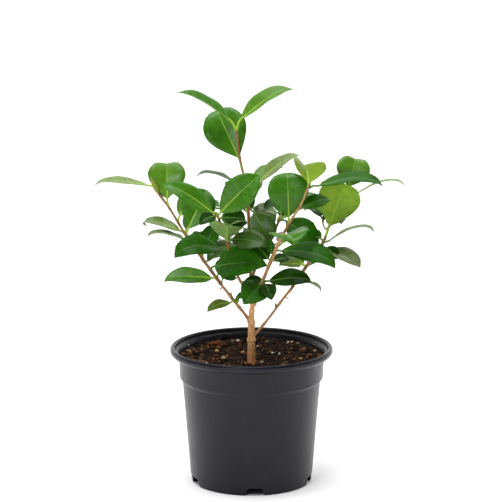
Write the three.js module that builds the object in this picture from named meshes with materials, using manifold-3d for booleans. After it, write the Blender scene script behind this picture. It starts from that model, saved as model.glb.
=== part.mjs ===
// Young camellia shrub in a round black nursery pot.
// Millimetres, +Z up, front toward -Y. The origin is the middle of the pot's flat underside.

import * as THREE from 'three';
import { mergeVertices } from 'three/addons/utils/BufferGeometryUtils.js';
import Module from 'manifold-3d';

const wasm = await Module();
wasm.setup();

// Pot: outer sizes, from the flat underside up to the rolled rim.
const POT_HEIGHT = 127;
const RIM_RADIUS = 75;
const RIM_WIDTH = 4.3;
const LIP_DEPTH = 6.6;
const COLLAR_TOP_RADIUS = 67;
const COLLAR_LOW_RADIUS = 66;
const COLLAR_LOW_HEIGHT = 100;
const STEP_HEIGHT = 95.5;
const BODY_TOP_RADIUS = 63.6;
const FOOT_RADIUS = 55.2;
const WALL = 1.7;
const FLOOR = 2.4;
const POT_SIDES = 40;

// Drainage notches at the foot of the pot.
const NOTCH_COUNT = 5;
const NOTCH_TURN = 3;
const NOTCH_WIDTH = 17.5;
const NOTCH_TOP_WIDTH = 13;
const NOTCH_HEIGHT = 5.2;
const NOTCH_DEPTH = 8;

// Potting mix: it fills the pot to a little below the rim and dips round the trunk.
const MIX_EDGE_HEIGHT = 116;
const MIX_DIP_HEIGHT = 113.5;
const MIX_DIP_RADIUS = 34;
const MIX_SIDES = 20;

// Faces that bend less than this are made one.
const LEAST_DETAIL = 0.06;

// Room between solids that touch in life.
const CLEAR = 0.3;
const MIX_CLEAR = 0.6;

// Leaves: every blade has this thickness. Its midrib turns down by the curl, more and more toward the
// tip, and its two halves rise from the midrib by the fold. Angles are in degrees.
const BLADE_THICKNESS = 0.8;
const BLADE_STEPS = 5;
const BLADE_CURL = 45;
const BLADE_FOLD = 14;
const BLADE_ROOT_WIDTH = 2.2;
const BLADE_TIP_WIDTH = 0.8;
const BELLY_PLACE = 0.86;
const BELLY_FULLNESS = 0.85;

// Leaf stalks.
const STALK_LENGTH = 8;
const STALK_RADIUS = 0.85;
const STALK_END_RADIUS = 0.35;
const STALK_ALONG_STEM = 0.6;
const STALK_SINK = 3;
const STALK_SIDES = 3;
const STALK_STEPS = 2;

const STEM_SIDES = 6;
const STEM_STEPS = 2;
const LIMB_SIDES = 10;
const LIMB_STEPS = 3;
const BUD_LENGTH = 6;
const BUD_RADIUS = 1.3;

// Leaves that face away from the front follow a seeded spiral: each next one turns on by this angle. One
// that would leave the crown, or come nearer than this to a limb or to another leaf's midrib, is skipped.
// So is one that would show in a gap between the listed leaves, seen from a little above the front: nearly
// all the cells of that view which it covers must be covered by them too.
const SPIRAL_TURN = 137.5;
const SEED_FACTOR = 16807;
const SEED_LIMIT = 2147483647;
const CROWN_REACH = 140;
const CROWN_LOW = 165;
const LIMB_ROOM = 6;
const LEAF_ROOM = 14;
const COVERED_SHARE = 0.9;
const CELL_SIZE = 2.5;
const CELL_ROWS = 30;
const CELL_COLUMNS = 8;
const FRONT_PITCH = 13;
const LIMB_SAMPLES = 12;

const radians = THREE.MathUtils.degToRad;

// Solids

function solidFrom(geometry) {
  geometry.deleteAttribute('normal');
  geometry.deleteAttribute('uv');
  const merged = mergeVertices(geometry, 1e-4);
  return new wasm.Manifold(new wasm.Mesh({
    numProp: 3,
    vertProperties: new Float32Array(merged.attributes.position.array),
    triVerts: new Uint32Array(merged.index.array),
  }));
}

function geometryFrom(solid) {
  const mesh = solid.getMesh();
  const geometry = new THREE.BufferGeometry();
  geometry.setAttribute('position', new THREE.BufferAttribute(new Float32Array(mesh.vertProperties), 3));
  geometry.setIndex(new THREE.BufferAttribute(new Uint32Array(mesh.triVerts), 1));
  geometry.computeVertexNormals();
  return geometry;
}

// A turned shape about the Z axis, from a closed profile of [radius, height] pairs.
function turned(profile, sides) {
  const points = profile.map(([radius, height]) => new THREE.Vector2(radius, height));
  points.push(points[0].clone());
  const geometry = new THREE.LatheGeometry(points, sides);
  geometry.rotateX(Math.PI / 2);
  return solidFrom(geometry);
}

// Smooth route through a few places, read by a share from 0 to 1.
function routeThrough(places) {
  const points = places.map((place) => (place.isVector3 ? place : new THREE.Vector3(...place)));
  return new THREE.CatmullRomCurve3(points, false, 'catmullrom', 0.5);
}

function valueAlong(values, share) {
  const place = share * (values.length - 1);
  const index = Math.min(Math.floor(place), values.length - 2);
  return THREE.MathUtils.lerp(values[index], values[index + 1], place - index);
}

// A round limb along a route, its radius read from an even list from root to tip.
function limb(route, radii, sides, steps) {
  const geometry = new THREE.CylinderGeometry(1, 1, 1, sides, steps);
  const chord = route.getPoint(1).sub(route.getPoint(0)).normalize();
  const across = Math.abs(chord.y) < 0.7 ? new THREE.Vector3(0, 1, 0) : new THREE.Vector3(1, 0, 0);
  const position = geometry.attributes.position;
  for (let i = 0; i < position.count; i += 1) {
    const share = position.getY(i) + 0.5;
    const tangent = route.getTangent(share);
    const side = new THREE.Vector3().crossVectors(tangent, across).normalize();
    const other = new THREE.Vector3().crossVectors(side, tangent);
    const radius = valueAlong(radii, share);
    const place = route.getPoint(share);
    place.addScaledVector(side, position.getX(i) * radius);
    place.addScaledVector(other, position.getZ(i) * radius);
    position.setXYZ(i, place.x, place.y, place.z);
  }
  return solidFrom(geometry);
}

// Leaves

// Way in which a leaf points: turn is 0 right, 90 back, 180 left, 270 front, and rise is up from level.
function wayOf(turn, rise) {
  const level = Math.cos(radians(rise));
  return new THREE.Vector3(
    level * Math.cos(radians(turn)),
    level * Math.sin(radians(turn)),
    Math.sin(radians(rise)),
  );
}

// Way in which the blade's upper side looks: up, tipped by lean to the front and by sway to the right.
function faceOf(way, lean, sway) {
  const face = new THREE.Vector3(
    Math.sin(radians(sway)),
    -Math.sin(radians(lean)) * Math.cos(radians(sway)),
    Math.cos(radians(lean)) * Math.cos(radians(sway)),
  );
  return face.addScaledVector(way, -face.dot(way)).normalize();
}

function bladeHalfWidth(share, wide) {
  const body = 0.5 * wide * Math.sin(Math.PI * share ** BELLY_PLACE) ** BELLY_FULLNESS;
  const least = THREE.MathUtils.lerp(BLADE_ROOT_WIDTH, BLADE_TIP_WIDTH, share) / 2;
  return Math.max(Number.isNaN(body) ? 0 : body, least);
}

// Stations along a blade's midrib, with the ways along it and out of its upper side at each.
function midribOf({ base, way, face }, leaf) {
  const curl = radians(leaf.curl ?? BLADE_CURL);
  const stations = [];
  const place = base.clone();
  for (let i = 0; i <= BLADE_STEPS; i += 1) {
    const share = i / BLADE_STEPS;
    const dip = curl * (share * share - 1 / 3);
    const along = way.clone().multiplyScalar(Math.cos(dip)).addScaledVector(face, -Math.sin(dip));
    const up = face.clone().multiplyScalar(Math.cos(dip)).addScaledVector(way, Math.sin(dip));
    stations.push({ place: place.clone(), along, up });
    place.addScaledVector(along, leaf.long / BLADE_STEPS);
  }
  return stations;
}

// A blade: a thin slab bent along its midrib and folded along it like a shallow V.
function blade(seat, leaf) {
  const side = new THREE.Vector3().crossVectors(seat.way, seat.face);
  const fold = radians(leaf.fold ?? BLADE_FOLD);
  const stations = midribOf(seat, leaf);
  const geometry = new THREE.BoxGeometry(1, 1, 1, 2, BLADE_STEPS, 1);
  const position = geometry.attributes.position;
  for (let i = 0; i < position.count; i += 1) {
    const step = Math.round((position.getY(i) + 0.5) * BLADE_STEPS);
    const station = stations[step];
    const across = 2 * position.getX(i) * bladeHalfWidth(step / BLADE_STEPS, leaf.wide);
    const lift = Math.abs(across) * Math.sin(fold) + position.getZ(i) * BLADE_THICKNESS;
    const place = station.place.clone();
    place.addScaledVector(side, across * Math.cos(fold));
    place.addScaledVector(station.up, lift);
    position.setXYZ(i, place.x, place.y, place.z);
  }
  return solidFrom(geometry);
}

// Where a leaf sits: its root on the stem, the base of its blade, and the ways it points and faces.
function seatOf(route, leaf) {
  const root = route.getPoint(leaf.at);
  const along = route.getTangent(leaf.at);
  const way = wayOf(leaf.turn, leaf.rise);
  const out = along.clone().multiplyScalar(STALK_ALONG_STEM).add(way).normalize();
  const base = root.clone().addScaledVector(out, leaf.stalk ?? STALK_LENGTH);
  return { root, along, way, out, base, face: faceOf(way, leaf.lean, leaf.sway ?? 0) };
}

// A leaf with its stalk: the stalk leaves the stem's middle, follows the stem a little, then the blade.
function leafOn(route, leaf) {
  const seat = seatOf(route, leaf);
  const length = seat.base.distanceTo(seat.root);
  const middle = seat.root.clone().addScaledVector(seat.out, length * 0.45);
  middle.addScaledVector(seat.along, length * 0.08);
  const sunk = seat.base.clone().addScaledVector(seat.way, STALK_SINK);
  const stalkRoute = routeThrough([seat.root, middle, seat.base, sunk]);
  const stalk = limb(stalkRoute, [STALK_RADIUS, STALK_RADIUS, STALK_END_RADIUS], STALK_SIDES, STALK_STEPS);
  return [stalk, blade(seat, leaf)];
}

function midribPlaces(route, leaf) {
  return midribOf(seatOf(route, leaf), leaf).map(({ place }) => place);
}

// Seeded leaves for the side that faces away, spread along a stem in a spiral within a range of turns.
function seededLeaves({ seed, count, from, to, turns, rise, long }) {
  let state = seed;
  const draw = (low, high) => {
    state = (state * SEED_FACTOR) % SEED_LIMIT;
    return low + (high - low) * (state / SEED_LIMIT);
  };
  const leaves = [];
  for (let i = 0; i < count; i += 1) {
    const spiral = (i * SPIRAL_TURN) % 360;
    const length = draw(long[0], long[1]);
    leaves.push({
      at: from + ((to - from) * (i + 0.5)) / count,
      turn: turns[0] + ((turns[1] - turns[0]) * spiral) / 360,
      rise: draw(rise[0], rise[1]),
      long: length,
      wide: length * draw(0.42, 0.5),
      lean: draw(-12, 12),
      curl: draw(35, 70),
    });
  }
  return leaves;
}

// The cells of the front view that a blade covers, each as its place across and up.
function frontCells(route, leaf) {
  const seat = seatOf(route, leaf);
  const side = new THREE.Vector3().crossVectors(seat.way, seat.face);
  const midrib = routeThrough(midribPlaces(route, leaf));
  const cells = new Set();
  for (let row = 1; row < CELL_ROWS; row += 1) {
    const half = bladeHalfWidth(row / CELL_ROWS, leaf.wide);
    for (let column = -CELL_COLUMNS; column <= CELL_COLUMNS; column += 1) {
      const place = midrib.getPoint(row / CELL_ROWS).addScaledVector(side, (half * column) / CELL_COLUMNS);
      const height = place.z * Math.cos(radians(FRONT_PITCH)) + place.y * Math.sin(radians(FRONT_PITCH));
      cells.add(`${Math.round(place.x / CELL_SIZE)} ${Math.round(height / CELL_SIZE)}`);
    }
  }
  return cells;
}

function isCovered(cells, cover) {
  return [...cells].filter((cell) => cover.has(cell)).length > COVERED_SHARE * cells.size;
}

// Whether the outer half of a leaf's midrib is inside the crown and clear of the limbs and leaves there.
function fits(places, limbPlaces, leafPlaces) {
  const outer = places.slice(Math.ceil(places.length / 2));
  return outer.every((place) => place.z > CROWN_LOW
    && Math.hypot(place.x, place.y) < CROWN_REACH
    && limbPlaces.every((other) => place.distanceTo(other) > LIMB_ROOM)
    && leafPlaces.every((other) => place.distanceTo(other) > LEAF_ROOM));
}

function endBud(route) {
  const tip = route.getPoint(1);
  const along = route.getTangent(1);
  const places = [-0.25, 0.3, 0.75, 1].map((share) => tip.clone().addScaledVector(along, share * BUD_LENGTH));
  const radii = [0.6, 1, 0.8, 0.25].map((share) => share * BUD_RADIUS);
  return limb(routeThrough(places), radii, STEM_SIDES, 3);
}

function largestPiece(solid) {
  const pieces = solid.decompose();
  pieces.sort((a, b) => b.volume() - a.volume());
  return pieces[0].simplify(LEAST_DETAIL);
}

// A mass of foliage: one stem, its leaves and its end bud, fused. Loose scraps are dropped.
function foliage(route, radii, leaves, bud) {
  const pieces = [limb(route, radii, STEM_SIDES, STEM_STEPS * (route.points.length - 1))];
  for (const leaf of leaves) {
    pieces.push(...leafOn(route, leaf));
  }
  if (bud) {
    pieces.push(endBud(route));
  }
  return wasm.Manifold.union(pieces);
}

// Pot and potting mix

function notch(turn) {
  const outline = new THREE.Shape();
  outline.moveTo(-NOTCH_WIDTH / 2, -1);
  outline.lineTo(NOTCH_WIDTH / 2, -1);
  outline.lineTo(NOTCH_TOP_WIDTH / 2, NOTCH_HEIGHT);
  outline.lineTo(-NOTCH_TOP_WIDTH / 2, NOTCH_HEIGHT);
  outline.closePath();
  const geometry = new THREE.ExtrudeGeometry(outline, { depth: 2 * NOTCH_DEPTH, bevelEnabled: false });
  geometry.rotateX(Math.PI / 2);
  geometry.translate(0, -(FOOT_RADIUS - NOTCH_DEPTH), 0);
  geometry.rotateZ(radians(turn));
  return solidFrom(geometry);
}

function pot() {
  const lipLow = POT_HEIGHT - LIP_DEPTH;
  const openingRadius = RIM_RADIUS - RIM_WIDTH;
  const profile = [
    [0, 0],
    [FOOT_RADIUS - 0.8, 0],
    [FOOT_RADIUS, 0.8],
    [BODY_TOP_RADIUS, STEP_HEIGHT],
    [COLLAR_LOW_RADIUS, COLLAR_LOW_HEIGHT],
    [COLLAR_TOP_RADIUS, lipLow - 1],
    [COLLAR_TOP_RADIUS + 1.5, lipLow],
    [RIM_RADIUS - 0.8, lipLow],
    [RIM_RADIUS, lipLow + 0.9],
    [RIM_RADIUS, POT_HEIGHT - 2.2],
    [RIM_RADIUS - 0.9, POT_HEIGHT - 0.6],
    [RIM_RADIUS - 2.1, POT_HEIGHT],
    [openingRadius + 0.6, POT_HEIGHT - 0.5],
    [openingRadius, POT_HEIGHT - 1.4],
    [openingRadius - 0.4, lipLow + 2.2],
    [openingRadius - 3, lipLow + 1.6],
    [COLLAR_TOP_RADIUS - WALL, lipLow],
    [COLLAR_LOW_RADIUS - WALL, COLLAR_LOW_HEIGHT + 1],
    [BODY_TOP_RADIUS - WALL, STEP_HEIGHT + 0.6],
    [FOOT_RADIUS - WALL, FLOOR],
    [0, FLOOR],
  ];
  let shell = turned(profile, POT_SIDES);
  for (let i = 0; i < NOTCH_COUNT; i += 1) {
    shell = shell.subtract(notch(NOTCH_TURN + (i * 360) / NOTCH_COUNT));
  }
  return shell;
}

function pottingMix() {
  const inset = WALL + MIX_CLEAR;
  const profile = [
    [0, FLOOR + CLEAR],
    [FOOT_RADIUS - inset - 6, FLOOR + CLEAR],
    [FOOT_RADIUS - inset, FLOOR + CLEAR + 5],
    [BODY_TOP_RADIUS - inset, STEP_HEIGHT],
    [COLLAR_LOW_RADIUS - inset, COLLAR_LOW_HEIGHT + 1],
    [COLLAR_TOP_RADIUS - inset - 0.4, MIX_EDGE_HEIGHT],
    [MIX_DIP_RADIUS + 14, MIX_EDGE_HEIGHT - 1],
    [MIX_DIP_RADIUS, MIX_DIP_HEIGHT],
    [0, MIX_DIP_HEIGHT],
  ];
  return turned(profile, MIX_SIDES);
}

// Trunk and boughs: places from root to tip, with radii spread evenly along them. Each bough starts inside
// the limb that bears it and is cut clear of it.

const TRUNK = {
  places: [[0, -12, MIX_DIP_HEIGHT + CLEAR], [0, -12, 130], [0, -12, 146], [0.1, -12, 161], [1.4, -12, 173]],
  radii: [4.3, 3.8, 3.7, 3.6, 3.4, 3.2, 2.5, 2.4, 2.8],
};

const BOUGHS = {
  leader: {
    places: [[1.3, -12, 171], [-0.2, -8.5, 190], [-1.6, -6, 212], [-2.4, -5, 232]],
    radii: [2, 1.6, 1.4, 1.3],
  },
  bough_left: {
    places: [[-2, -12, 154.6], [-7, -11.2, 161.6], [-12.5, -10, 168.2], [-27.4, -6, 186.6]],
    radii: [1.9, 1.7, 1.8, 1.5],
  },
  bough_right: {
    places: [[1.5, -12, 140], [6.5, -11.5, 145], [16.7, -9, 157.1], [28.4, -5, 172.4], [36.4, -2, 181.8]],
    radii: [1.9, 1.7, 1.5, 1.5, 1.6],
  },
  bough_front_right: {
    places: [[2.4, -13, 169.5], [4.6, -15.4, 177.5], [8.7, -18.3, 189], [15, -24.8, 206.8]],
    radii: [1.9, 1.8, 1.7, 1.6],
  },
  bough_front_left: {
    places: [[0.3, -11, 176], [-7.4, -11.5, 187], [-12.9, -10.5, 197], [-17.6, -11, 210]],
    radii: [1.4, 1.4, 1.3, 1.3],
  },
  bough_back_right: {
    places: [[-0.4, -8, 192], [4.6, -1, 203], [9.5, 6, 212]],
    radii: [1.4, 1.3, 1.2],
  },
  bough_back_left: {
    places: [[-1.5, -6, 208.5], [-4.6, 3, 215.6], [-7.6, 10, 220.4]],
    radii: [1.3, 1.2, 1.2],
  },
};

// Masses of foliage. Each stem starts at its seat on a bough, which is the bough's tip where none is given,
// and is cut clear of it. at is a leaf's place on the stem from 0 to 1; long and wide are its blade's.

const MASSES = {
  leaves_top: {
    bough: 'leader',
    places: [[-2.6, -4, 252.5], [-3.3, -2, 274.5], [-8, 0, 292], [-10.7, 2, 306], [-13.6, 4, 328]],
    radii: [1.3, 1.2, 1.1, 1, 0.9, 0.8],
    bud: true,
    leaves: [
      { at: 1, stalk: 13, turn: 190, rise: 31, long: 56, wide: 21, lean: 16, curl: 30, fold: 26 },
      { at: 1, stalk: 13, turn: 8, rise: 30, long: 57, wide: 24, lean: 26, curl: 50, fold: 26 },
      { at: 0.63, stalk: 10, turn: 140, rise: 53, long: 53, wide: 39, lean: 75, curl: 25, fold: 9 },
      { at: 0.36, stalk: 12, turn: 14, rise: 29, long: 56, wide: 19, lean: 16 },
      { at: 0.41, stalk: 11, turn: 177, rise: 5, long: 39, wide: 13, lean: -9, curl: 90 },
      { at: 0.22, stalk: 6, turn: 338, rise: -61, long: 33, wide: 24, lean: 70 },
    ],
    seeded: { seed: 11, count: 60, from: 0.12, to: 0.6, turns: [20, 170], rise: [-10, 30], long: [36, 46] },
  },
  leaves_left: {
    bough: 'bough_left',
    places: [
      [-44, 0, 208.5], [-52.2, 2, 220], [-60, 4, 230.7], [-75.4, 8, 256], [-84.7, 10, 268], [-89.6, 10, 281],
    ],
    radii: [1.5, 1.4, 1.3, 1.1, 1, 0.9, 0.8],
    bud: true,
    leaves: [
      { at: 0.9, turn: 190, rise: 2, long: 48, wide: 17, lean: 11, curl: 32 },
      { at: 0.667, turn: 92, rise: 60, long: 40, wide: 37, lean: 82, curl: 50 },
      { at: 0.48, turn: 24, rise: 54, long: 44, wide: 33, lean: 66 },
      { at: 0.5, stalk: 4, turn: 163, rise: 3, long: 43, wide: 20, lean: 17, curl: 75 },
      { at: 0.46, stalk: 5, turn: 187, rise: 2, long: 36, wide: 12, lean: -5, curl: 80 },
      { at: 0.173, stalk: 9, turn: 49, rise: 45, long: 30, wide: 18, lean: 30 },
      { at: 0.085, stalk: 12, turn: 316, rise: 8, long: 59, wide: 34, lean: 64, curl: 50 },
      { at: 0.035, stalk: 5, turn: 191, rise: -3, long: 44, wide: 22, lean: 31 },
      { at: 0.03, stalk: 7, turn: 72, rise: 52, long: 27, wide: 17, lean: 60 },
    ],
    seeded: { seed: 23, count: 60, from: 0.1, to: 0.98, turns: [30, 150], rise: [-15, 25], long: [34, 44] },
  },
  leaves_low_left: {
    bough: 'bough_left',
    seat: 0.8,
    places: [[-19.4, -13.4, 174.4]],
    radii: [1.1, 0.9],
    leaves: [
      { at: 1, stalk: 4, turn: 197, rise: -24, long: 24, wide: 13, lean: 30, curl: 90 },
      { at: 0.85, stalk: 4, turn: 12, rise: 30, long: 10, wide: 6, lean: 40 },
    ],
  },
  leaves_front_left: {
    bough: 'bough_front_left',
    places: [[-20.6, -15, 222], [-24, -25, 240], [-27.5, -33, 250], [-31, -40, 259]],
    radii: [1.3, 1.2, 1.1, 1, 0.9],
    bud: true,
    leaves: [
      { at: 0.95, stalk: 5, turn: 0, rise: 44, long: 53, wide: 30, lean: 67 },
      { at: 1, stalk: 5, turn: 180, rise: 25, long: 50, wide: 16, lean: 45, curl: 60 },
      { at: 1, stalk: 3, turn: 200, rise: -6, long: 24, wide: 16, lean: 48, curl: 80 },
      { at: 0.88, stalk: 4, turn: 42, rise: -14, long: 30, wide: 20, lean: 56 },
      { at: 0.36, stalk: 4, turn: 272, rise: 36, long: 30, wide: 38, lean: 0, fold: 32 },
      { at: 0.38, stalk: 6, turn: 335, rise: -6, long: 38, wide: 22, lean: 44 },
      { at: 0.27, stalk: 9, turn: 195, rise: -6, long: 45, wide: 24, lean: 32, curl: 95 },
    ],
  },
  leaves_low_front: {
    bough: 'bough_front_right',
    seat: 0.66,
    places: [[11.4, -24.5, 194]],
    radii: [1.2, 1.1],
    leaves: [
      { at: 0.5, stalk: 4, turn: 236, rise: -24, long: 34, wide: 26, lean: 60 },
      { at: 0.8, stalk: 4, turn: 288, rise: -28, long: 25, wide: 16, lean: 50 },
      { at: 1, stalk: 8, turn: 358, rise: -2, long: 37, wide: 22, lean: 36 },
    ],
  },
  leaves_front_right: {
    bough: 'bough_front_right',
    places: [[25, -34, 233], [35.4, -42, 254.5], [44.5, -48, 271], [51.4, -52, 289]],
    radii: [1.6, 1.4, 1.2, 1, 0.8],
    leaves: [
      { at: 0.16, stalk: 6, turn: 348, rise: -20, long: 52, wide: 25, lean: 32, curl: 70 },
      { at: 0.29, stalk: 4, turn: 292, rise: 0, long: 37, wide: 42, lean: 6, sway: -4, curl: 75, fold: 17 },
      { at: 0.43, stalk: 8, turn: 102, rise: 72, long: 46, wide: 38, lean: 85, sway: 5, curl: 80 },
      { at: 0.65, stalk: 5, turn: 30, rise: 7, long: 31, wide: 18, lean: 31 },
      { at: 0.96, stalk: 10, turn: 4, rise: -7, long: 62, wide: 23, lean: 21, curl: 65 },
      { at: 0.98, stalk: 5, turn: 93, rise: 14, long: 38, wide: 38, lean: 0, sway: 16, fold: 35 },
      { at: 0.05, stalk: 4, turn: 40, rise: -3, long: 19, wide: 12, lean: 35 },
      { at: 0.05, stalk: 4, turn: 150, rise: 40, long: 23, wide: 18, lean: 60 },
    ],
  },
  leaves_right: {
    bough: 'bough_right',
    places: [[51.3, 5, 203], [65.4, 12, 221.5], [73, 20, 240], [88, 26, 264]],
    radii: [1.5, 1.3, 1.2, 1, 0.8],
    leaves: [
      { at: 0.08, stalk: 4, turn: 340, rise: -30, long: 23, wide: 12, lean: -5, curl: 80 },
      { at: 0.22, stalk: 5, turn: 197, rise: 0, long: 23, wide: 15, lean: 26 },
      { at: 0.58, stalk: 11, turn: 306, rise: 61, long: 52, wide: 40, lean: -95 },
      { at: 0.95, stalk: 12, turn: 63, rise: 62, long: 35, wide: 33, lean: 80, curl: 80 },
      { at: 0.97, stalk: 10, turn: 351, rise: 8, long: 55, wide: 14, lean: -6, curl: 80 },
      { at: 0.56, stalk: 5, turn: 349, rise: 7, long: 46, wide: 17, lean: -3, curl: 85 },
      { at: 0.43, stalk: 10, turn: 344, rise: -29, long: 35, wide: 22, lean: 20 },
      { at: 0.46, stalk: 5, turn: 330, rise: -35, long: 17, wide: 13, lean: 60 },
    ],
    seeded: { seed: 40, count: 60, from: 0.1, to: 0.95, turns: [40, 160], rise: [-15, 25], long: [34, 44] },
  },
  leaves_back_right: {
    bough: 'bough_back_right',
    places: [[18.9, 20, 224.8], [27.3, 34, 243.4]],
    radii: [1.2, 1.1, 0.8],
    bud: true,
    leaves: [
      { at: 1, stalk: 4, turn: 199, rise: 3, long: 26, wide: 16, lean: 30, curl: 70 },
      { at: 0.88, stalk: 7, turn: 349, rise: -35, long: 39, wide: 26, lean: 62 },
    ],
    seeded: { seed: 41, count: 90, from: 0.1, to: 1, turns: [0, 130], rise: [-25, 15], long: [36, 46] },
  },
  leaves_back_left: {
    bough: 'bough_back_left',
    places: [[-17.9, 26, 232.9], [-27.2, 40, 250.6]],
    radii: [1.2, 1.1, 0.8],
    bud: true,
    leaves: [
      { at: 0.06, stalk: 7, turn: 203, rise: -24, long: 32, wide: 14, lean: 20 },
    ],
    seeded: { seed: 53, count: 90, from: 0.1, to: 1, turns: [60, 200], rise: [-25, 15], long: [36, 46] },
  },
};

// Materials

function finish(color, roughness) {
  return new THREE.MeshStandardMaterial({ color, roughness, metalness: 0 });
}

const plastic = () => finish(0x2f3033, 0.45);
const peat = () => finish(0x2c1b12, 0.95);
const oldBark = () => finish(0xa97b4f, 0.8);
const youngBark = () => finish(0x8a5a36, 0.7);
const leafGreen = () => finish(0x2f5f22, 0.4);

// Assembly

const group = new THREE.Group();

function addNode(name, solid, material) {
  const mesh = new THREE.Mesh(geometryFrom(solid), material);
  mesh.name = name;
  group.add(mesh);
}

function limbOf({ places, radii }) {
  return limb(routeThrough(places), radii, LIMB_SIDES, LIMB_STEPS * (places.length - 1));
}

// The room round a limb that its boughs and stems are cut clear of: it is wider, and longer at the tip.
function roomRound({ places, radii }) {
  const wide = radii.map((radius) => radius + CLEAR);
  const route = routeThrough(places);
  const tip = route.getPoint(1);
  const along = route.getTangent(1);
  const cap = [-1, 1].map((end) => tip.clone().addScaledVector(along, end * CLEAR));
  const endRadius = wide[wide.length - 1];
  return limbOf({ places, radii: wide }).add(limb(routeThrough(cap), [endRadius, endRadius], LIMB_SIDES, 1));
}

function samplePlaces(route) {
  return Array.from({ length: LIMB_SAMPLES + 1 }, (_, i) => route.getPoint(i / LIMB_SAMPLES));
}

addNode('pot', pot(), plastic());
addNode('potting_mix', pottingMix(), peat());
addNode('trunk', limbOf(TRUNK), oldBark());

const rooms = { trunk: roomRound(TRUNK) };
const limbPlaces = samplePlaces(routeThrough(TRUNK.places));
for (const [name, bough] of Object.entries(BOUGHS)) {
  let solid = limbOf(bough);
  for (const room of Object.values(rooms)) {
    solid = solid.subtract(room);
  }
  addNode(name, largestPiece(solid), youngBark());
  rooms[name] = roomRound(bough);
  limbPlaces.push(...samplePlaces(routeThrough(bough.places)));
}

const leafPlaces = [];
const cover = new Set();
for (const mass of Object.values(MASSES)) {
  const seat = routeThrough(BOUGHS[mass.bough].places).getPoint(mass.seat ?? 1);
  mass.route = routeThrough([seat, ...mass.places]);
  limbPlaces.push(...samplePlaces(mass.route));
  for (const leaf of mass.leaves) {
    leafPlaces.push(...midribPlaces(mass.route, leaf));
    frontCells(mass.route, leaf).forEach((cell) => cover.add(cell));
  }
}

for (const [name, mass] of Object.entries(MASSES)) {
  const leaves = [...mass.leaves];
  for (const leaf of mass.seeded ? seededLeaves(mass.seeded) : []) {
    const places = midribPlaces(mass.route, leaf);
    if (isCovered(frontCells(mass.route, leaf), cover) && fits(places, limbPlaces, leafPlaces)) {
      leaves.push(leaf);
      leafPlaces.push(...places);
    }
  }
  const solid = foliage(mass.route, mass.radii, leaves, mass.bud);
  addNode(name, largestPiece(solid.subtract(rooms[mass.bough])), leafGreen());
}

export default group;
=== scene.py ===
# Young camellia shrub in a round black nursery pot, on a pale studio floor.
# +Z is up and the front looks toward -Y. Shapes are made in millimetres and brought to metres at the end.

import math

import bmesh
import bpy
import numpy as np
from mathutils import Matrix, Vector, noise


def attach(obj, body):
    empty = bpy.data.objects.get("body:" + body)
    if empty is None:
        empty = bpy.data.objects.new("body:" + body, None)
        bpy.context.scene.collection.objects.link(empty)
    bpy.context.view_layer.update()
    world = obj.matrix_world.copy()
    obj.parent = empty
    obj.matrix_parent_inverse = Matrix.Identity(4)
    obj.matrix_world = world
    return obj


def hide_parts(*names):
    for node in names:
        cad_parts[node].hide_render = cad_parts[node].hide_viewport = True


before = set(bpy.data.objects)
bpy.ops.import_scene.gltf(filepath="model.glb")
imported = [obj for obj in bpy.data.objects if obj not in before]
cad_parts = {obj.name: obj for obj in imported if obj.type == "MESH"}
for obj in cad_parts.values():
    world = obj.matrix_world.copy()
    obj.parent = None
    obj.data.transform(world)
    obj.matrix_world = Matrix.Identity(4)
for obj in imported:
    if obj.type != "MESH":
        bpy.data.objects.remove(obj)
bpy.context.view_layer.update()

MM = 0.001

# Pot: outer sizes, from the flat underside up to the rolled rim.
POT_HEIGHT = 127
RIM_RADIUS = 75
RIM_WIDTH = 4.3
LIP_DEPTH = 6.6
COLLAR_TOP_RADIUS = 67
COLLAR_LOW_RADIUS = 66
COLLAR_LOW_HEIGHT = 98.8
STEP_HEIGHT = 95.5
BODY_TOP_RADIUS = 63.6
FOOT_RADIUS = 55.2
WALL = 1.7
COLLAR_WALL = 0.9
FLOOR = 2.4
FOOT_RING = 8
FOOT_HOLLOW = 0.6
FOOT_EDGE = 0.8
FOOT_LINE_HEIGHT = 7.4
FOOT_LINE_STEP = 0.55
POT_SIDES = 144
POT_EDGE_ROUND = 0.45
ROUNDED_ANGLE = 14
POT_SHARP_ANGLE = 35

# Drainage notches at the foot of the pot.
NOTCH_COUNT = 5
NOTCH_TURN = 3
NOTCH_WIDTH = 19.5
NOTCH_TOP_WIDTH = 12.5
NOTCH_HEIGHT = 6.9
NOTCH_DEPTH = 8

# Potting mix: it fills the pot to a little below the rim, is heaped at the wall and dips round the trunk.
# Its unevenness is told by its height and by the widths of its coarse and fine waves.
MIX_DIP_HEIGHT = 113.5
MIX_LEVEL_HEIGHT = 115
MIX_EDGE_HEIGHT = 118.6
MIX_DIP_RADIUS = 34
MIX_SLOPE = 14
MIX_CLEAR = 0.6
MIX_RADIUS = COLLAR_TOP_RADIUS - COLLAR_WALL - MIX_CLEAR
MIX_SIDES = 120
MIX_RINGS = 30
MIX_RELIEF = 1.5
MIX_WAVE = 11
MIX_FINE_WAVE = 3.5

# Crumbs of the mix: each kind's darker and paler colour and its roughness, how often each is dealt out, and
# their sizes.
CRUMBS = {
    "peat_dark": ("080301", "1a0c05", 0.92),
    "peat_brown": ("1e0e05", "422410", 0.92),
    "bark_crumb": ("4c2d12", "9c6c3a", 0.92),
    "bark_red": ("3c1a0b", "784420", 0.92),
    "pale_chip": ("9a7c4c", "c8ac7c", 0.92),
    "white_grain": ("b8ae9a", "e0dac8", 0.8),
}
CRUMB_DEAL = 7 * ["peat_dark"] + 5 * ["peat_brown"] + 2 * ["bark_crumb"] + ["bark_red"]
CRUMB_COUNT = 5000
CRUMB_SHAPES = 6
CRUMB_SMALLEST = 0.35
CRUMB_LARGEST = 2.25
CRUMB_MARGIN = 1.4

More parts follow.
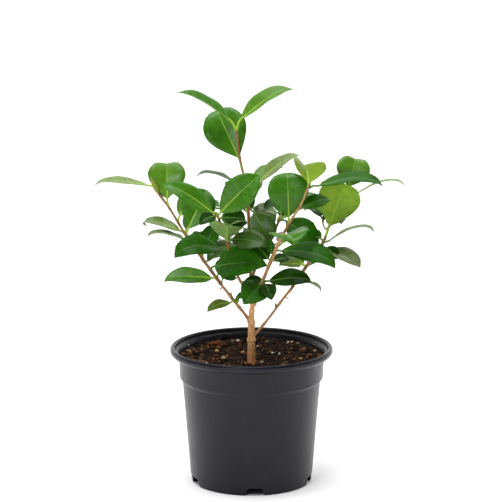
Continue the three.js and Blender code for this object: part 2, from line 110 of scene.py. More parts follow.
# The larger chips and grains on the mix: place across and back, size, and kind.
CHIPS = [
    (-30.8, 46, 3.8, "bark_red"), (-34.5, 42, 3.2, "bark_red"), (-27, 44.5, 3, "bark_red"),
    (-31, 39, 2.6, "bark_crumb"), (-26.2, 3.2, 2.6, "pale_chip"), (-32, 25.2, 2.2, "pale_chip"),
    (-57.8, 14.2, 1.8, "pale_chip"), (-59, 32, 1.6, "white_grain"), (19.6, 23.4, 1.7, "white_grain"),
    (25.6, 23.4, 1.7, "white_grain"), (9.7, -8, 1.6, "white_grain"), (-17.8, 54, 1.5, "pale_chip"),
    (-12.6, 57, 1.6, "white_grain"), (14.6, 56, 1.5, "white_grain"), (34.3, 50, 1.6, "white_grain"),
    (38, 49, 1.5, "pale_chip"), (43.5, 43.8, 1.8, "pale_chip"), (58.8, 19.7, 1.8, "pale_chip"),
    (12, -30, 1.7, "white_grain"), (-20, -28, 1.9, "pale_chip"), (30, -22, 1.6, "white_grain"),
    (-41, -16, 1.7, "white_grain"), (45, -4, 1.8, "pale_chip"), (-8, 30, 1.5, "pale_chip"),
    (6, 44, 1.4, "white_grain"), (2, -48, 1.8, "white_grain"), (-30, -46, 1.7, "pale_chip"),
    (26, -50, 1.9, "bark_crumb"),
]

# Leaves: a blade's midrib turns down by the curl, more and more toward the tip, its two halves rise from
# the midrib by the fold, and its last part turns down further by the hook. The larger the belly, the farther
# from its foot a blade is widest. Angles are in degrees.
BLADE_STEPS = 5
BLADE_CURL = 45
BLADE_FOLD = 14
BELLY_PLACE = 0.86
BELLY_FULLNESS = 0.85
BLADE_ROWS = 40
BLADE_COLUMNS = 10
BLADE_THICKNESS = 0.35
MIDRIB_ROOT_WIDTH = 1.6
MIDRIB_TIP_WIDTH = 0.3
BLADE_ROOT_WIDTH = 1.6
BLADE_TIP_WIDTH = 0.25
TOOTH = 0.28
TOOTH_SLANT = 0.3
TEETH_START = 0.12
TEETH_END = 0.97
DRIP_START = 0.8
DRIP_END = 0.96
DRIP_NARROWING = 0.28
BLADE_HOOK = 22
HOOK_START = 0.78
HOOK_END = 1.1
BLADE_ROLL = 7
ROLL_MIDDLE = 0.35
WAVE_COUNT = (1.6, 2.6)
WAVE_HEIGHT = (0.02, 0.055)
EDGE_DROOP = 0.07
RIB_ROUND = 0.6
SIDE_VEINS = 8
VEIN_SWEEP = 1.5

# Leaf stalks, and the rib that carries on from each beneath its blade. Those of small leaves are finer.
STALK_LENGTH = 8
STALK_ALONG_STEM = 0.6
STALK_SINK = 3
STALK_RADII = [1.3, 1.05, 0.95, 0.8]
RIB_RADII = [0.62, 0.45, 0.3, 0.12]
RIB_PLACES = [0, 0.25, 0.5, 0.75, 0.93]
RIB_SINK = 0.28
FINEST_STALK = 0.55
STALK_GROWTH = 90

# Buds: the small ones in the axils of the leaves, and how near a shoot's tip the last of them sits.
AXIL_BUD_LENGTH = 2.6
AXIL_BUD_RADIUS = 0.7
AXIL_BUD_LAST = 0.97

# Leaves that face away from the front follow a seeded spiral: each next one turns on by this angle. One
# that would leave the crown, or come nearer than this to a limb or to another leaf's midrib, is skipped.
# So is one that would show in a gap between the listed leaves, seen from a little above the front: nearly
# all the cells of that view which it covers must be covered by them too.
SPIRAL_TURN = 137.5
SEEDED_SLIMNESS = (0.42, 0.5)
SEEDED_LEAN = (-12, 12)
SEEDED_CURL = (35, 70)
SEEDED_TINTS = ("deep", "mid", "fresh", "deep", "mid")
CROWN_REACH = 140
CROWN_LOW = 165
LIMB_ROOM = 6
LEAF_ROOM = 14
FINE_LEAF_ROOM = 9
COVERED_SHARE = 0.9
CELL_SIZE = 2.5
CELL_ROWS = 30
CELL_COLUMNS = 8
CELL_ROOT_WIDTH = 2.2
CELL_TIP_WIDTH = 0.8
FRONT_PITCH = 13
LIMB_SAMPLES = 12

# Fine side twigs, which grow from the stems by the same rule. Each has a few small leaves, given by their
# place on it and by how far they turn away from it.
FINE_TWIG_LENGTH = 20
FINE_TWIG_RADII = [0.9, 0.75, 0.6]
FINE_LEAVES = [(0.55, 55), (0.8, -50), (1, 5)]
FINE_LEAF_RISE = (-15, 30)
FINE_LEAF_LENGTH = (22, 30)
FINE_LEAF_WIDTH = (10, 14)
FINE_LEAF_LEAN = (-10, 10)
FINE_LEAF_STALK = 4
FINE_TINTS = ("fresh", "mid", "deep", "light")

# Seeded numbers: each is the last one times the factor, less the limit as often as it holds it.
SEED_FACTOR = 16807
SEED_LIMIT = 2147483647

# Limbs: their rings and sides, how they widen where they leave what bears them, and their bark's relief.
LIMB_SIDES = 28
LIMB_RING = 1.2
ROUTE_MARKS = 24
TRUNK_FLARE = 0.9
BOUGH_FLARE = 0.7
FLARE_LENGTH = 2.4
LIMB_MARKS = 40
BARK_VOXEL = 0.36
BARK_RELIEF = 0.16

# Camera: the photograph's view, far off, a little above, and level from side to side. It is in metres.
CAMERA_PLACE = (-0.0004, -3.1241, 0.9326)
CAMERA_TILT = 77.1
CAMERA_LENS = 251
CAMERA_SENSOR = 36
CAMERA_REACH = 100

# Studio, in metres: two plain soft lights, and a surround that is dim in front and brighter overhead and
# behind the shrub.
LIGHTS = {
    "top_light": dict(place=(-0.5, -0.5, 2.2), size=0.9, watts=14),
    "front_light": dict(place=(-1.3, -2.6, 1.5), size=0.6, watts=22),
}
LIGHT_AIM = (0, 0, 0.2)
SURROUND_FRONT = 0.05
SURROUND_TOP = 5.0
SURROUND_BACK = 1.1
FLOOR_REACH = 12


# Colours

def paint(code):
    """A screen colour code as the shader's plain colour."""
    parts = [int(code[i:i + 2], 16) / 255 for i in (0, 2, 4)]
    return (*[part / 12.92 if part <= 0.04045 else ((part + 0.055) / 1.055) ** 2.4 for part in parts], 1)


# Upper sides of the leaves, each kind with the colours of its blade and of its veins, and its gloss.
TINTS = {
    "light": ("667e3c", "92aa60", 0.3),
    "fresh": ("4d7a1e", "80a840", 0.2),
    "mid": ("386b13", "679632", 0.2),
    "deep": ("235308", "4b7e22", 0.06),
    "dark": ("163802", "3a6816", 0.05),
    "olive": ("50681a", "86a03c", 0.2),
    "lime": ("5f7a05", "94b02c", 0.08),
    "grey": ("67774a", "8e9c6c", 0.3),
    # This kind's dark grey green is painted shade and painted sheen, as on leaves seen at a grazing angle.
    "dull": ("34501c", "5c7a38", 0.2),
}
PALE_RIBBED = {"light", "fresh", "mid", "olive", "lime"}

# Bark of the stems and twigs: the colours of its streaks, its ground and its pores, and its roughness.
TWIG_BARKS = {
    "bark_brown": ("41240f", "7a5232", "9c7448", 0.72),
    "bark_tan": ("6b4420", "a87a48", "c79a68", 0.72),
    "shoot_red": ("4f1f12", "8d4a2a", "a8713c", 0.55),
    "shoot_green": ("5a5a1c", "7f8a30", "98a040", 0.5),
}


# Limbs and leaves

def limb(places, radii, knots=(), tone=0):
    """Places from root to tip, radii spread evenly along them, the shares where knots swell it, and how
    brown its bark is, from 0 to 1."""
    return dict(places=places, radii=radii, knots=knots, tone=tone)


def leaf(
    at, turn, rise, long, wide, lean, tint,
    stalk=STALK_LENGTH, hug=STALK_ALONG_STEM, stout=1, sway=0,
    curl=BLADE_CURL, fold=BLADE_FOLD, hook=BLADE_HOOK, belly=BELLY_PLACE,
):
    """A leaf's place on its stem from 0 to 1, how it points and faces, and its blade's length and width.

    Its stalk leaves along the stem by the share hug, and stout makes the stalk thicker."""
    return dict(
        at=at, turn=turn, rise=rise, long=long, wide=wide, lean=lean, tint=tint,
        stalk=stalk, hug=hug, stout=stout, sway=sway,
        curl=curl, fold=fold, hook=hook, belly=belly,
    )


TRUNK = limb(
    places=[(0, -12, MIX_DIP_HEIGHT - 6), (0, -12, 130), (0, -12, 146), (0.1, -12, 161), (1.4, -12, 173)],
    radii=[4.3, 3.7, 3.5, 3.4, 3.2, 3.0, 2.4, 2.3, 2.7],
    knots=[0.34, 0.6, 0.8],
)

BOUGHS = {
    "leader": limb(
        places=[(1.3, -12, 171), (-0.2, -8.5, 190), (-1.6, -6, 212), (-2.4, -5, 232)],
        radii=[2, 1.6, 1.4, 1.3],
        knots=[0.33, 0.66],
        tone=0.9,
    ),
    "bough_left": limb(
        places=[(-2, -12, 154.6), (-7, -11.2, 161.6), (-12.5, -10, 168.2), (-27.4, -6, 186.6)],
        radii=[1.6, 1.4, 1.5, 1.25],
        knots=[0.62, 0.83],
        tone=0.65,
    ),
    "bough_right": limb(
        places=[(1.5, -12, 140), (6.5, -11.5, 145), (16.7, -9, 157.1), (28.4, -5, 172.4), (36.4, -2, 181.8)],
        radii=[1.6, 1.35, 1.2, 1.2, 1.35],
        knots=[0.38, 0.7, 0.97],
        tone=0.5,
    ),
    "bough_front_right": limb(
        places=[(2.4, -13, 169.5), (4.6, -15.4, 177.5), (8.7, -18.3, 189), (15, -24.8, 206.8)],
        radii=[1.9, 1.8, 1.7, 1.6],
        knots=[0.3, 0.66],
        tone=0.4,
    ),
    "bough_front_left": limb(
        places=[(0.3, -11, 176), (-7.4, -11.5, 187), (-12.9, -10.5, 197), (-17.6, -11, 210)],
        radii=[1.4, 1.4, 1.3, 1.3],
        knots=[0.35, 0.97],
        tone=0.6,
    ),
    "bough_back_right": limb(
        places=[(-0.4, -8, 192), (4.6, -1, 203), (9.5, 6, 212)],
        radii=[1.4, 1.3, 1.2],
        tone=0.8,
    ),
    "bough_back_left": limb(
        places=[(-1.5, -6, 208.5), (-4.6, 3, 215.6), (-7.6, 10, 220.4)],
        radii=[1.3, 1.2, 1.2],
        tone=0.8,
    ),
}

# Masses of foliage. Each stem starts at its seat on a bough, which is the bough's tip where none is given.
MASSES = {
    "leaves_top": dict(
        bough="leader",
        places=[(-2.6, -4, 252.5), (-3.3, -2, 274.5), (-8, 0, 292), (-10.7, 2, 306), (-13.6, 4, 328)],
        radii=[1.3, 1.2, 1.1, 1, 0.9, 0.8],
        bark="shoot_red",
        bud=(1, 5, 1.2),
        leaves=[
            leaf(
                at=1, turn=190, rise=28, long=58, wide=23, lean=14, tint="mid",
                stalk=11, hug=1.6, stout=1.1, curl=30, fold=26, hook=10,
            ),
            leaf(
                at=1, turn=8, rise=26, long=58, wide=22, lean=22, tint="fresh",
                stalk=11, hug=1.6, stout=1.1, curl=50, fold=26, hook=10,
            ),
            leaf(
                at=0.63, turn=131, rise=52, long=56, wide=40, lean=75, tint="mid",
                stalk=10, hug=1.5, curl=25, fold=9, hook=50, belly=1.15,
            ),
            leaf(at=0.36, turn=14, rise=29, long=51, wide=19, lean=16, tint="light", stalk=12),
            leaf(
                at=0.41, turn=177, rise=0, long=43, wide=18, lean=-3, tint="dull",
                stalk=11, curl=80, hook=25,
            ),
            leaf(at=0.24, turn=334, rise=-58, long=33, wide=26, lean=66, tint="dull", stalk=6),
        ],
        seeded=dict(
            seed=11, count=60, start=0.12, end=0.6, turns=(20, 170), rise=(-10, 30), long=(36, 46), sprays=5,
        ),
    ),
    "leaves_left": dict(
        bough="bough_left",
        places=[
            (-44, 0, 208.5), (-52.2, 2, 220), (-60, 4, 230.7),
            (-75.4, 8, 256), (-84.7, 10, 268), (-89.6, 10, 281),
        ],
        radii=[1.5, 1.4, 1.3, 1.1, 1, 0.9, 0.8],
        bark="bark_brown",
        bud=(0.86, 17, 2.2),
        leaves=[
            leaf(at=0.9, turn=190, rise=2, long=52, wide=17, lean=11, tint="light", curl=32),
            leaf(
                at=0.667, turn=91, rise=60, long=40, wide=35, lean=82, tint="fresh",
                stalk=8, curl=50, hook=95, belly=1.15,
            ),
            leaf(at=0.48, turn=48, rise=52, long=44, wide=32, lean=68, tint="mid", belly=1.1),
            leaf(
                at=0.52, turn=163, rise=2, long=42, wide=17, lean=14, tint="light",
                stalk=4, curl=65, hook=75,
            ),
            leaf(
                at=0.44, turn=187, rise=-1, long=39, wide=13, lean=6, tint="grey",
                stalk=5, curl=75, hook=30,
            ),
            leaf(at=0.173, turn=49, rise=45, long=30, wide=18, lean=30, tint="deep", stalk=9),
            leaf(
                at=0.095, turn=326, rise=7, long=62, wide=34, lean=58, tint="deep",
                stalk=8, hug=0.5, curl=46, fold=24,
            ),
            leaf(at=0.035, turn=191, rise=-3, long=48, wide=22, lean=31, tint="mid", stalk=5),
            leaf(at=0.03, turn=60, rise=45, long=18, wide=12, lean=60, tint="deep", stalk=6),
        ],
        seeded=dict(
            seed=23, count=60, start=0.1, end=0.98, turns=(30, 150), rise=(-15, 25), long=(34, 44), sprays=5,
        ),
    ),
    "leaves_low_left": dict(
        bough="bough_left",
        seat=0.8,
        places=[(-16.6, -13.6, 174.2)],
        radii=[1.1, 0.9],
        bark="bark_brown",
        leaves=[
            leaf(
                at=1, turn=197, rise=-24, long=26, wide=12, lean=28, tint="olive",
                stalk=4, curl=82, hook=10,
            ),
            leaf(at=0.85, turn=12, rise=30, long=10, wide=6, lean=40, tint="deep", stalk=4),
        ],
    ),
    "leaves_front_left": dict(
        bough="bough_front_left",
        places=[(-20.6, -15, 222), (-24, -25, 240), (-27.5, -33, 250), (-31, -40, 259)],
        radii=[1.3, 1.2, 1.1, 1, 0.9],
        bark="shoot_red",
        bud=(0.98, 8, 1.7),
        leaves=[
            leaf(at=0.95, turn=0, rise=44, long=53, wide=30, lean=67, tint="mid", stalk=5, belly=1.05),
            leaf(at=1, turn=180, rise=26, long=59, wide=20, lean=45, tint="mid", stalk=5, curl=66, hook=60),
            leaf(
                at=1, turn=214, rise=-26, long=22, wide=12, lean=44, tint="dark",
                stalk=2, curl=105, hook=15,
            ),
            leaf(at=0.88, turn=42, rise=-14, long=30, wide=20, lean=56, tint="dark", stalk=4),
            leaf(at=0.36, turn=272, rise=36, long=30, wide=38, lean=0, tint="mid", stalk=4, fold=32),
            leaf(at=0.38, turn=335, rise=-6, long=40, wide=22, lean=44, tint="dull", stalk=6, hook=50),
            leaf(
                at=0.25, turn=195, rise=-17, long=54, wide=25, lean=38, tint="deep",
                stalk=9, curl=128, hook=10,
            ),
        ],
    ),
    "leaves_low_front": dict(
        bough="bough_front_right",
        seat=0.66,
        places=[(11.4, -24.5, 194)],
        radii=[1.2, 1.1],
        bark="bark_tan",
        leaves=[
            leaf(at=0.5, turn=236, rise=-24, long=34, wide=26, lean=60, tint="deep", stalk=4),
            leaf(at=0.8, turn=288, rise=-28, long=25, wide=16, lean=50, tint="dark", stalk=4),
            leaf(at=1, turn=356, rise=-3, long=42, wide=21, lean=36, tint="dark", stalk=5, curl=60, hook=20),
        ],
    ),
    "leaves_front_right": dict(
        bough="bough_front_right",
        places=[(25, -34, 233), (35.4, -42, 254.5), (44.5, -48, 271), (51.4, -52, 289)],
        radii=[1.6, 1.4, 1.2, 1, 0.8],
        bark="bark_tan",
        bud=(1, 5, 1.3),
        leaves=[
            leaf(
                at=0.16, turn=348, rise=-22, long=60, wide=25, lean=32, tint="deep",
                stalk=6, curl=98, hook=15,
            ),
            leaf(
                at=0.33, turn=286, rise=-8, long=36, wide=39, lean=4, tint="mid",
                stalk=4, sway=-5, curl=60, fold=19, hook=60,
            ),
            leaf(
                at=0.43, turn=102, rise=72, long=46, wide=38, lean=85, tint="mid",
                stalk=8, sway=5, curl=80, belly=1.2,
            ),
            leaf(at=0.65, turn=30, rise=7, long=31, wide=18, lean=31, tint="deep", stalk=5),
            leaf(
                at=0.96, turn=4, rise=-11, long=67, wide=19, lean=21, tint="deep",
                stalk=10, curl=90, hook=20,
            ),
            leaf(at=0.98, turn=98, rise=12, long=38, wide=38, lean=0, tint="lime", stalk=5, sway=14, fold=35),
            leaf(at=0.05, turn=40, rise=-3, long=19, wide=12, lean=35, tint="dark", stalk=4),
            leaf(at=0.05, turn=150, rise=40, long=23, wide=18, lean=60, tint="dark", stalk=4),
        ],
        small_leaves=[
            leaf(at=0.1, turn=150, rise=78, long=15, wide=9, lean=80, tint="deep", stalk=3, fold=35),
        ],
    ),
    "leaves_right": dict(
        bough="bough_right",
        places=[(51.3, 5, 203), (65.4, 12, 221.5), (73, 20, 240), (88, 26, 264)],
        radii=[1.5, 1.3, 1.2, 1, 0.8],
        bark="bark_brown",
        bud=(1, 4, 1.1),
        leaves=[
            leaf(at=0.08, turn=340, rise=-30, long=24, wide=12, lean=-5, tint="grey", stalk=4, curl=80),
            leaf(at=0.22, turn=197, rise=0, long=23, wide=15, lean=26, tint="olive", stalk=5),
            leaf(at=0.58, turn=306, rise=61, long=52, wide=40, lean=-95, tint="lime", stalk=11, belly=1.1),
            leaf(
                at=0.95, turn=63, rise=61, long=32, wide=32, lean=80, tint="fresh",
                stalk=14, curl=80, hook=80, belly=1.05,
            ),
            leaf(at=0.97, turn=351, rise=4, long=53, wide=14, lean=-6, tint="light", stalk=10, curl=80),
            leaf(at=0.5, turn=349, rise=5, long=52, wide=18, lean=-3, tint="grey", stalk=5, curl=85, hook=40),
            leaf(at=0.43, turn=344, rise=-29, long=35, wide=22, lean=20, tint="grey", stalk=10),
            leaf(at=0.46, turn=330, rise=-35, long=17, wide=13, lean=60, tint="dark", stalk=5),
        ],
        seeded=dict(
            seed=40, count=60, start=0.1, end=0.95, turns=(40, 160), rise=(-15, 25), long=(34, 44), sprays=5,
        ),
    ),
    "leaves_back_right": dict(
        bough="bough_back_right",
        places=[(18.9, 20, 224.8), (27.3, 34, 243.4)],
        radii=[1.2, 1.1, 0.8],
        bark="bark_brown",
        bud=(0.84, 11, 1.9),
        leaves=[
            leaf(at=1, turn=199, rise=3, long=26, wide=16, lean=30, tint="grey", stalk=4, curl=70),
            leaf(at=0.88, turn=349, rise=-35, long=39, wide=26, lean=62, tint="deep", stalk=7),
        ],
        seeded=dict(
            seed=41, count=90, start=0.1, end=1, turns=(0, 130), rise=(-25, 15), long=(36, 46), sprays=6,
        ),
    ),
    "leaves_back_left": dict(
        bough="bough_back_left",
        places=[(-17.9, 26, 232.9), (-27.2, 40, 250.6)],
        radii=[1.2, 1.1, 0.8],
        bark="bark_brown",
        bud=(1, 6, 1.5),
        leaves=[
            leaf(at=0.06, turn=203, rise=-27, long=32, wide=19, lean=30, tint="dull", stalk=7),
        ],
        seeded=dict(
            seed=53, count=90, start=0.1, end=1, turns=(60, 200), rise=(-25, 15), long=(36, 46), sprays=6,
        ),
    ),
}

# Small growths on the boughs: new leaves, by the mass whose blades they join, stubs, and side buds.
NEW_LEAVES = {
    "leaves_low_left": dict(bough="bough_left", leaves=[
        leaf(at=0.667, turn=265, rise=72, long=10, wide=3.4, lean=75, tint="lime", stalk=1.5, curl=20),
        leaf(at=0.985, turn=30, rise=62, long=12, wide=8, lean=60, tint="deep", stalk=6, curl=60),
    ]),
    "leaves_front_left": dict(bough="bough_front_left", leaves=[
        leaf(at=0.42, turn=348, rise=2, long=19, wide=10, lean=45, tint="dark", stalk=3),
        leaf(at=0.56, turn=188, rise=-4, long=12, wide=7, lean=45, tint="deep", stalk=2.5),
        leaf(at=0.68, turn=25, rise=12, long=16, wide=10, lean=55, tint="dark", stalk=3),
    ]),
}
STUBS = [
    dict(bough="bough_right", at=0.8, turn=335, rise=-12, length=4.5, radius=0.6),
    dict(bough="bough_left", at=0.97, turn=190, rise=-40, length=4, radius=0.7),
    dict(bough="leader", at=0.34, turn=200, rise=35, length=3.5, radius=0.8),
]
SIDE_BUDS = [
    dict(bough="bough_right", at=0.62, turn=95, rise=72, length=5, radius=1.2),
    dict(bough="bough_front_right", at=0.66, turn=160, rise=50, length=4, radius=1.0),
    dict(bough="bough_left", at=0.83, turn=70, rise=55, length=3.5, radius=1.0),
    dict(bough="leader", at=0.66, turn=20, rise=45, length=3.5, radius=1.0),
]


# Numbers

class Draws:
    """Seeded numbers, the same in every run."""

    def __init__(self, seed):
        self.state = seed

    def between(self, low, high):
        self.state = self.state * SEED_FACTOR % SEED_LIMIT
        return low + (high - low) * self.state / SEED_LIMIT

    def pick(self, choices):
        return choices[int(self.between(0, len(choices) - 0.001))]


def blend(first, second, share):
    return first + (second - first) * share


def eased(low, high, value):
    """0 below low, 1 above high, and a smooth rise between them."""
    share = min(max((value - low) / (high - low), 0), 1)
    return share * share * (3 - 2 * share)


def value_along(values, share):
    """The value at a share from 0 to 1 of an even list."""
    place = min(max(share, 0), 1) * (len(values) - 1)
    index = min(int(place), len(values) - 2)
    return blend(values[index], values[index + 1], place - index)


class Route:
    """A smooth way through a few places, read by a share from 0 to 1."""

    def __init__(self, places):
        inner = [Vector(place) for place in places]
        self.spans = len(inner) - 1
        self.places = [2 * inner[0] - inner[1], *inner, 2 * inner[-1] - inner[-2]]

    def point(self, share):
        place = min(max(share, 0), 1) * self.spans
        index = min(int(place), self.spans - 1)
        step = place - index
        before, first, second, after = self.places[index:index + 4]
        leaving = (second - before) / 2
        coming = (after - first) / 2
        return (
            first
            + step * leaving
            + step ** 2 * (3 * (second - first) - 2 * leaving - coming)
            + step ** 3 * (2 * (first - second) + leaving + coming)
        )

    def tangent(self, share):
        return (self.point(share + 0.0001) - self.point(share - 0.0001)).normalized()

    def length(self):
        marks = [self.point(i / ROUTE_MARKS) for i in range(ROUTE_MARKS + 1)]
        return sum((second - first).length for first, second in zip(marks, marks[1:]))

    def samples(self):
        return [self.point(i / LIMB_SAMPLES) for i in range(LIMB_SAMPLES + 1)]


def bough_route(name):
    return Route(BOUGHS[name]["places"])


# The plan of the crown

def way_of(turn, rise):
    """Turn is 0 right, 90 back, 180 left and 270 front, and rise is up from level."""
    turn = math.radians(turn)
    rise = math.radians(rise)
    return Vector((math.cos(rise) * math.cos(turn), math.cos(rise) * math.sin(turn), math.sin(rise)))


def face_of(way, lean, sway):
    """Way in which the upper side looks: up, tipped by lean to the front and by sway to the right."""
    lean = math.radians(lean)
    sway = math.radians(sway)
    face = Vector((math.sin(sway), -math.sin(lean) * math.cos(sway), math.cos(lean) * math.cos(sway)))
    return (face - face.dot(way) * way).normalized()


class Seat:
    """Where a leaf sits: its root on the stem, the foot of its blade, and the ways it points and faces."""

    def __init__(self, route, leaf):
        self.root = route.point(leaf["at"])
        self.along = route.tangent(leaf["at"])
        self.way = way_of(leaf["turn"], leaf["rise"])
        self.face = face_of(self.way, leaf["lean"], leaf["sway"])
        self.out = (leaf["hug"] * self.along + self.way).normalized()
        self.foot = self.root + leaf["stalk"] * self.out


class Midrib:
    """The line of a blade's midrib from foot to tip, with the ways along it and out of its upper side."""

    def __init__(self, seat, leaf):
        self.seat = seat
        self.curl = math.radians(leaf["curl"])
        self.hook = math.radians(leaf["hook"])
        self.long = leaf["long"]
        self.side = seat.way.cross(seat.face)
        self.places = [seat.foot]
        for i in range(BLADE_STEPS):
            self.places.append(self.places[-1] + self.along(i / BLADE_STEPS) * leaf["long"] / BLADE_STEPS)
        self.route = Route(self.places)

    def dip(self, share):
        """How far the curl has turned the blade down, by share from foot to tip."""
        return self.curl * (share ** 2 - 1 / 3)

    def drop(self, share):
        """How far the hook turns it down further."""
        return self.hook * eased(HOOK_START, HOOK_END, share)

    def point(self, share):
        """The midrib's place by share, with its last part turned down by the hook."""
        place = self.route.point(share)
        past = max(share - HOOK_START, 0) * self.long
        drop = self.drop(share)
        return place - past * (math.sin(drop) * self.up(share) + (1 - math.cos(drop)) * self.along(share))

    def top(self, share):
        """The way out of the blade's upper side, with the hook."""
        drop = self.drop(share)
        return math.cos(drop) * self.up(share) + math.sin(drop) * self.along(share)

    def along(self, share):
        return math.cos(self.dip(share)) * self.seat.way - math.sin(self.dip(share)) * self.seat.face

    def up(self, share):
        return math.cos(self.dip(share)) * self.seat.face + math.sin(self.dip(share)) * self.seat.way


def seeded_leaves(rule):
    """Leaves for the side that faces away, spread along a stem in a spiral within a range of turns."""
    draws = Draws(rule["seed"])
    leaves = []
    for i in range(rule["count"]):
        long = draws.between(*rule["long"])
        spiral = i * SPIRAL_TURN % 360
        leaves.append(leaf(
            at=blend(rule["start"], rule["end"], (i + 0.5) / rule["count"]),
            turn=blend(*rule["turns"], spiral / 360),
            rise=draws.between(*rule["rise"]),
            long=long,
            wide=long * draws.between(*SEEDED_SLIMNESS),
            lean=draws.between(*SEEDED_LEAN),
            curl=draws.between(*SEEDED_CURL),
            tint=SEEDED_TINTS[i % len(SEEDED_TINTS)],
        ))
    return leaves


def fits(places, limb_places, leaf_places, leaf_room):
    """Whether the outer half of a leaf's midrib is inside the crown and clear of the limbs and leaves."""
    outer = places[len(places) // 2:]
    return (
        all(place.z > CROWN_LOW and math.hypot(place.x, place.y) < CROWN_REACH for place in outer)
        and all((place - other).length > LIMB_ROOM for place in outer for other in limb_places)
        and all((place - other).length > leaf_room for place in outer for other in leaf_places)
    )


def front_cells(midrib, leaf):
    """The cells of the front view that a blade covers, each as its place across and up."""
    pitch = math.radians(FRONT_PITCH)
    cells = set()
    for share in (row / CELL_ROWS for row in range(1, CELL_ROWS)):
        half = max(oval_half_width(share, leaf["wide"]), blend(CELL_ROOT_WIDTH, CELL_TIP_WIDTH, share) / 2)
        for column in range(-CELL_COLUMNS, CELL_COLUMNS + 1):
            place = midrib.route.point(share) + half * column / CELL_COLUMNS * midrib.side
            height = place.z * math.cos(pitch) + place.y * math.sin(pitch)
            cells.add((round(place.x / CELL_SIZE), round(height / CELL_SIZE)))
    return cells


def is_covered(cells, cover):
    return len(cells & cover) > COVERED_SHARE * len(cells)


def spray_at(route, rule, index, draws):
    """A fine side twig with its small leaves, on the side of a stem that faces away."""
    at = blend(rule["start"], rule["end"], (index + 0.3) / rule["sprays"])
    turn = blend(*rule["turns"], draws.between(0.15, 0.85))
    root = route.point(at)
    length = FINE_TWIG_LENGTH * draws.between(0.8, 1.2)
    middle = root + 0.5 * length * way_of(turn, 5)
    tip = middle + 0.5 * length * way_of(turn + draws.between(-15, 15), 35)
    twig = Route([root, middle, tip])
    leaves = [
        leaf(
            at=share,
            turn=turn + swing,
            rise=draws.between(*FINE_LEAF_RISE),
            long=draws.between(*FINE_LEAF_LENGTH),
            wide=draws.between(*FINE_LEAF_WIDTH),
            lean=draws.between(*FINE_LEAF_LEAN),
            tint=draws.pick(FINE_TINTS),
            stalk=FINE_LEAF_STALK,
        )
        for share, swing in FINE_LEAVES
    ]
    return twig, leaves


def plan_crown():
    """Every stem of the crown with its radii and leaves, in the order of the masses."""
    limb_places = Route(TRUNK["places"]).samples()
    for name in BOUGHS:
        limb_places.extend(bough_route(name).samples())
    leaf_places = []
    cover = set()
    stems = {}
    for name, mass in MASSES.items():
        seat = bough_route(mass["bough"]).point(mass.get("seat", 1))
        route = Route([seat, *mass["places"]])
        stems[name] = [dict(route=route, radii=mass["radii"], bark=mass["bark"], leaves=list(mass["leaves"]))]
        limb_places.extend(route.samples())
        for item in mass["leaves"]:
            midrib = Midrib(Seat(route, item), item)
            leaf_places.extend(midrib.places)
            cover |= front_cells(midrib, item)

    def takes(route, item, leaf_room):
        """Whether there is room for a seeded leaf, which then counts when the next ones are tried."""
        midrib = Midrib(Seat(route, item), item)
        if not is_covered(front_cells(midrib, item), cover):
            return False
        if not fits(midrib.places, limb_places, leaf_places, leaf_room):
            return False
        leaf_places.extend(midrib.places)
        return True

    rules = {name: mass["seeded"] for name, mass in MASSES.items() if "seeded" in mass}
    for name, rule in rules.items():
        stem = stems[name][0]
        stem["leaves"].extend([item for item in seeded_leaves(rule) if takes(stem["route"], item, LEAF_ROOM)])
    for name, rule in rules.items():
        draws = Draws(rule["seed"] * 7)
        for i in range(rule["sprays"]):
            twig, leaves = spray_at(stems[name][0]["route"], rule, i, draws)
            kept = [item for item in leaves if takes(twig, item, FINE_LEAF_ROOM)]
            if kept:
                stems[name].append(dict(route=twig, radii=FINE_TWIG_RADII, bark="shoot_green", leaves=kept))
    for name, mass in MASSES.items():
        stems[name][0]["leaves"].extend(mass.get("small_leaves", []))
    return stems


# Meshes

class Gathering:
    """Shapes of one kind, joined in one mesh. It keeps the map that blades bring with them."""

    def __init__(self):
        self.shape = bmesh.new()
        self.shape.loops.layers.uv.new("Blade")

    def add(self, part, finish=None, place=None):
        """Takes in a shape, moved to its place and with one finish on it where these are given."""
        if place is not None:
            bmesh.ops.transform(part, matrix=place, verts=part.verts)
        if finish is not None:
            for face in part.faces:
                face.material_index = finish
        scrap = bpy.data.meshes.new("scrap")
        part.to_mesh(scrap)
        part.free()
        self.shape.from_mesh(scrap)
        bpy.data.meshes.remove(scrap)


def piece(name, shape, finishes, slot=None, nodes=(), smooth_angle=None):
    """Makes a piece of the shrub from a shape in millimetres, riding on its one body."""
    bmesh.ops.scale(shape, vec=(MM, MM, MM), verts=shape.verts)
    mesh = bpy.data.meshes.new(name)
    shape.to_mesh(mesh)
    shape.free()
    for finish in finishes:
        mesh.materials.append(finish)
    mesh.shade_smooth()
    if smooth_angle is not None:
        mesh.set_sharp_from_angle(angle=math.radians(smooth_angle))
    made = bpy.data.objects.new(name, mesh)
    bpy.context.scene.collection.objects.link(made)
    if slot is not None:
        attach(made, "root")
    if nodes:
        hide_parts(*nodes)
    return made


def settle(made):
    """Applies a piece's modifiers to its mesh."""
    graph = bpy.context.evaluated_depsgraph_get()
    finished = bpy.data.meshes.new_from_object(made.evaluated_get(graph))
    rough = made.data
    made.modifiers.clear()
    made.data = finished
    bpy.data.meshes.remove(rough)


def turned(profile, sides):
    """A closed shape turned about the Z axis from a line of (radius, height) that starts and ends on it."""
    shape = bmesh.new()
    verts = [shape.verts.new((radius, 0, height)) for radius, height in profile]
    edges = [shape.edges.new(pair) for pair in zip(verts, verts[1:])]
    bmesh.ops.spin(
        shape, geom=verts + edges, cent=(0, 0, 0), axis=(0, 0, 1),
        angle=math.tau, steps=sides, use_merge=True,
    )
    bmesh.ops.remove_doubles(shape, verts=shape.verts, dist=0.001)
    bmesh.ops.recalc_face_normals(shape, faces=shape.faces)
    return shape


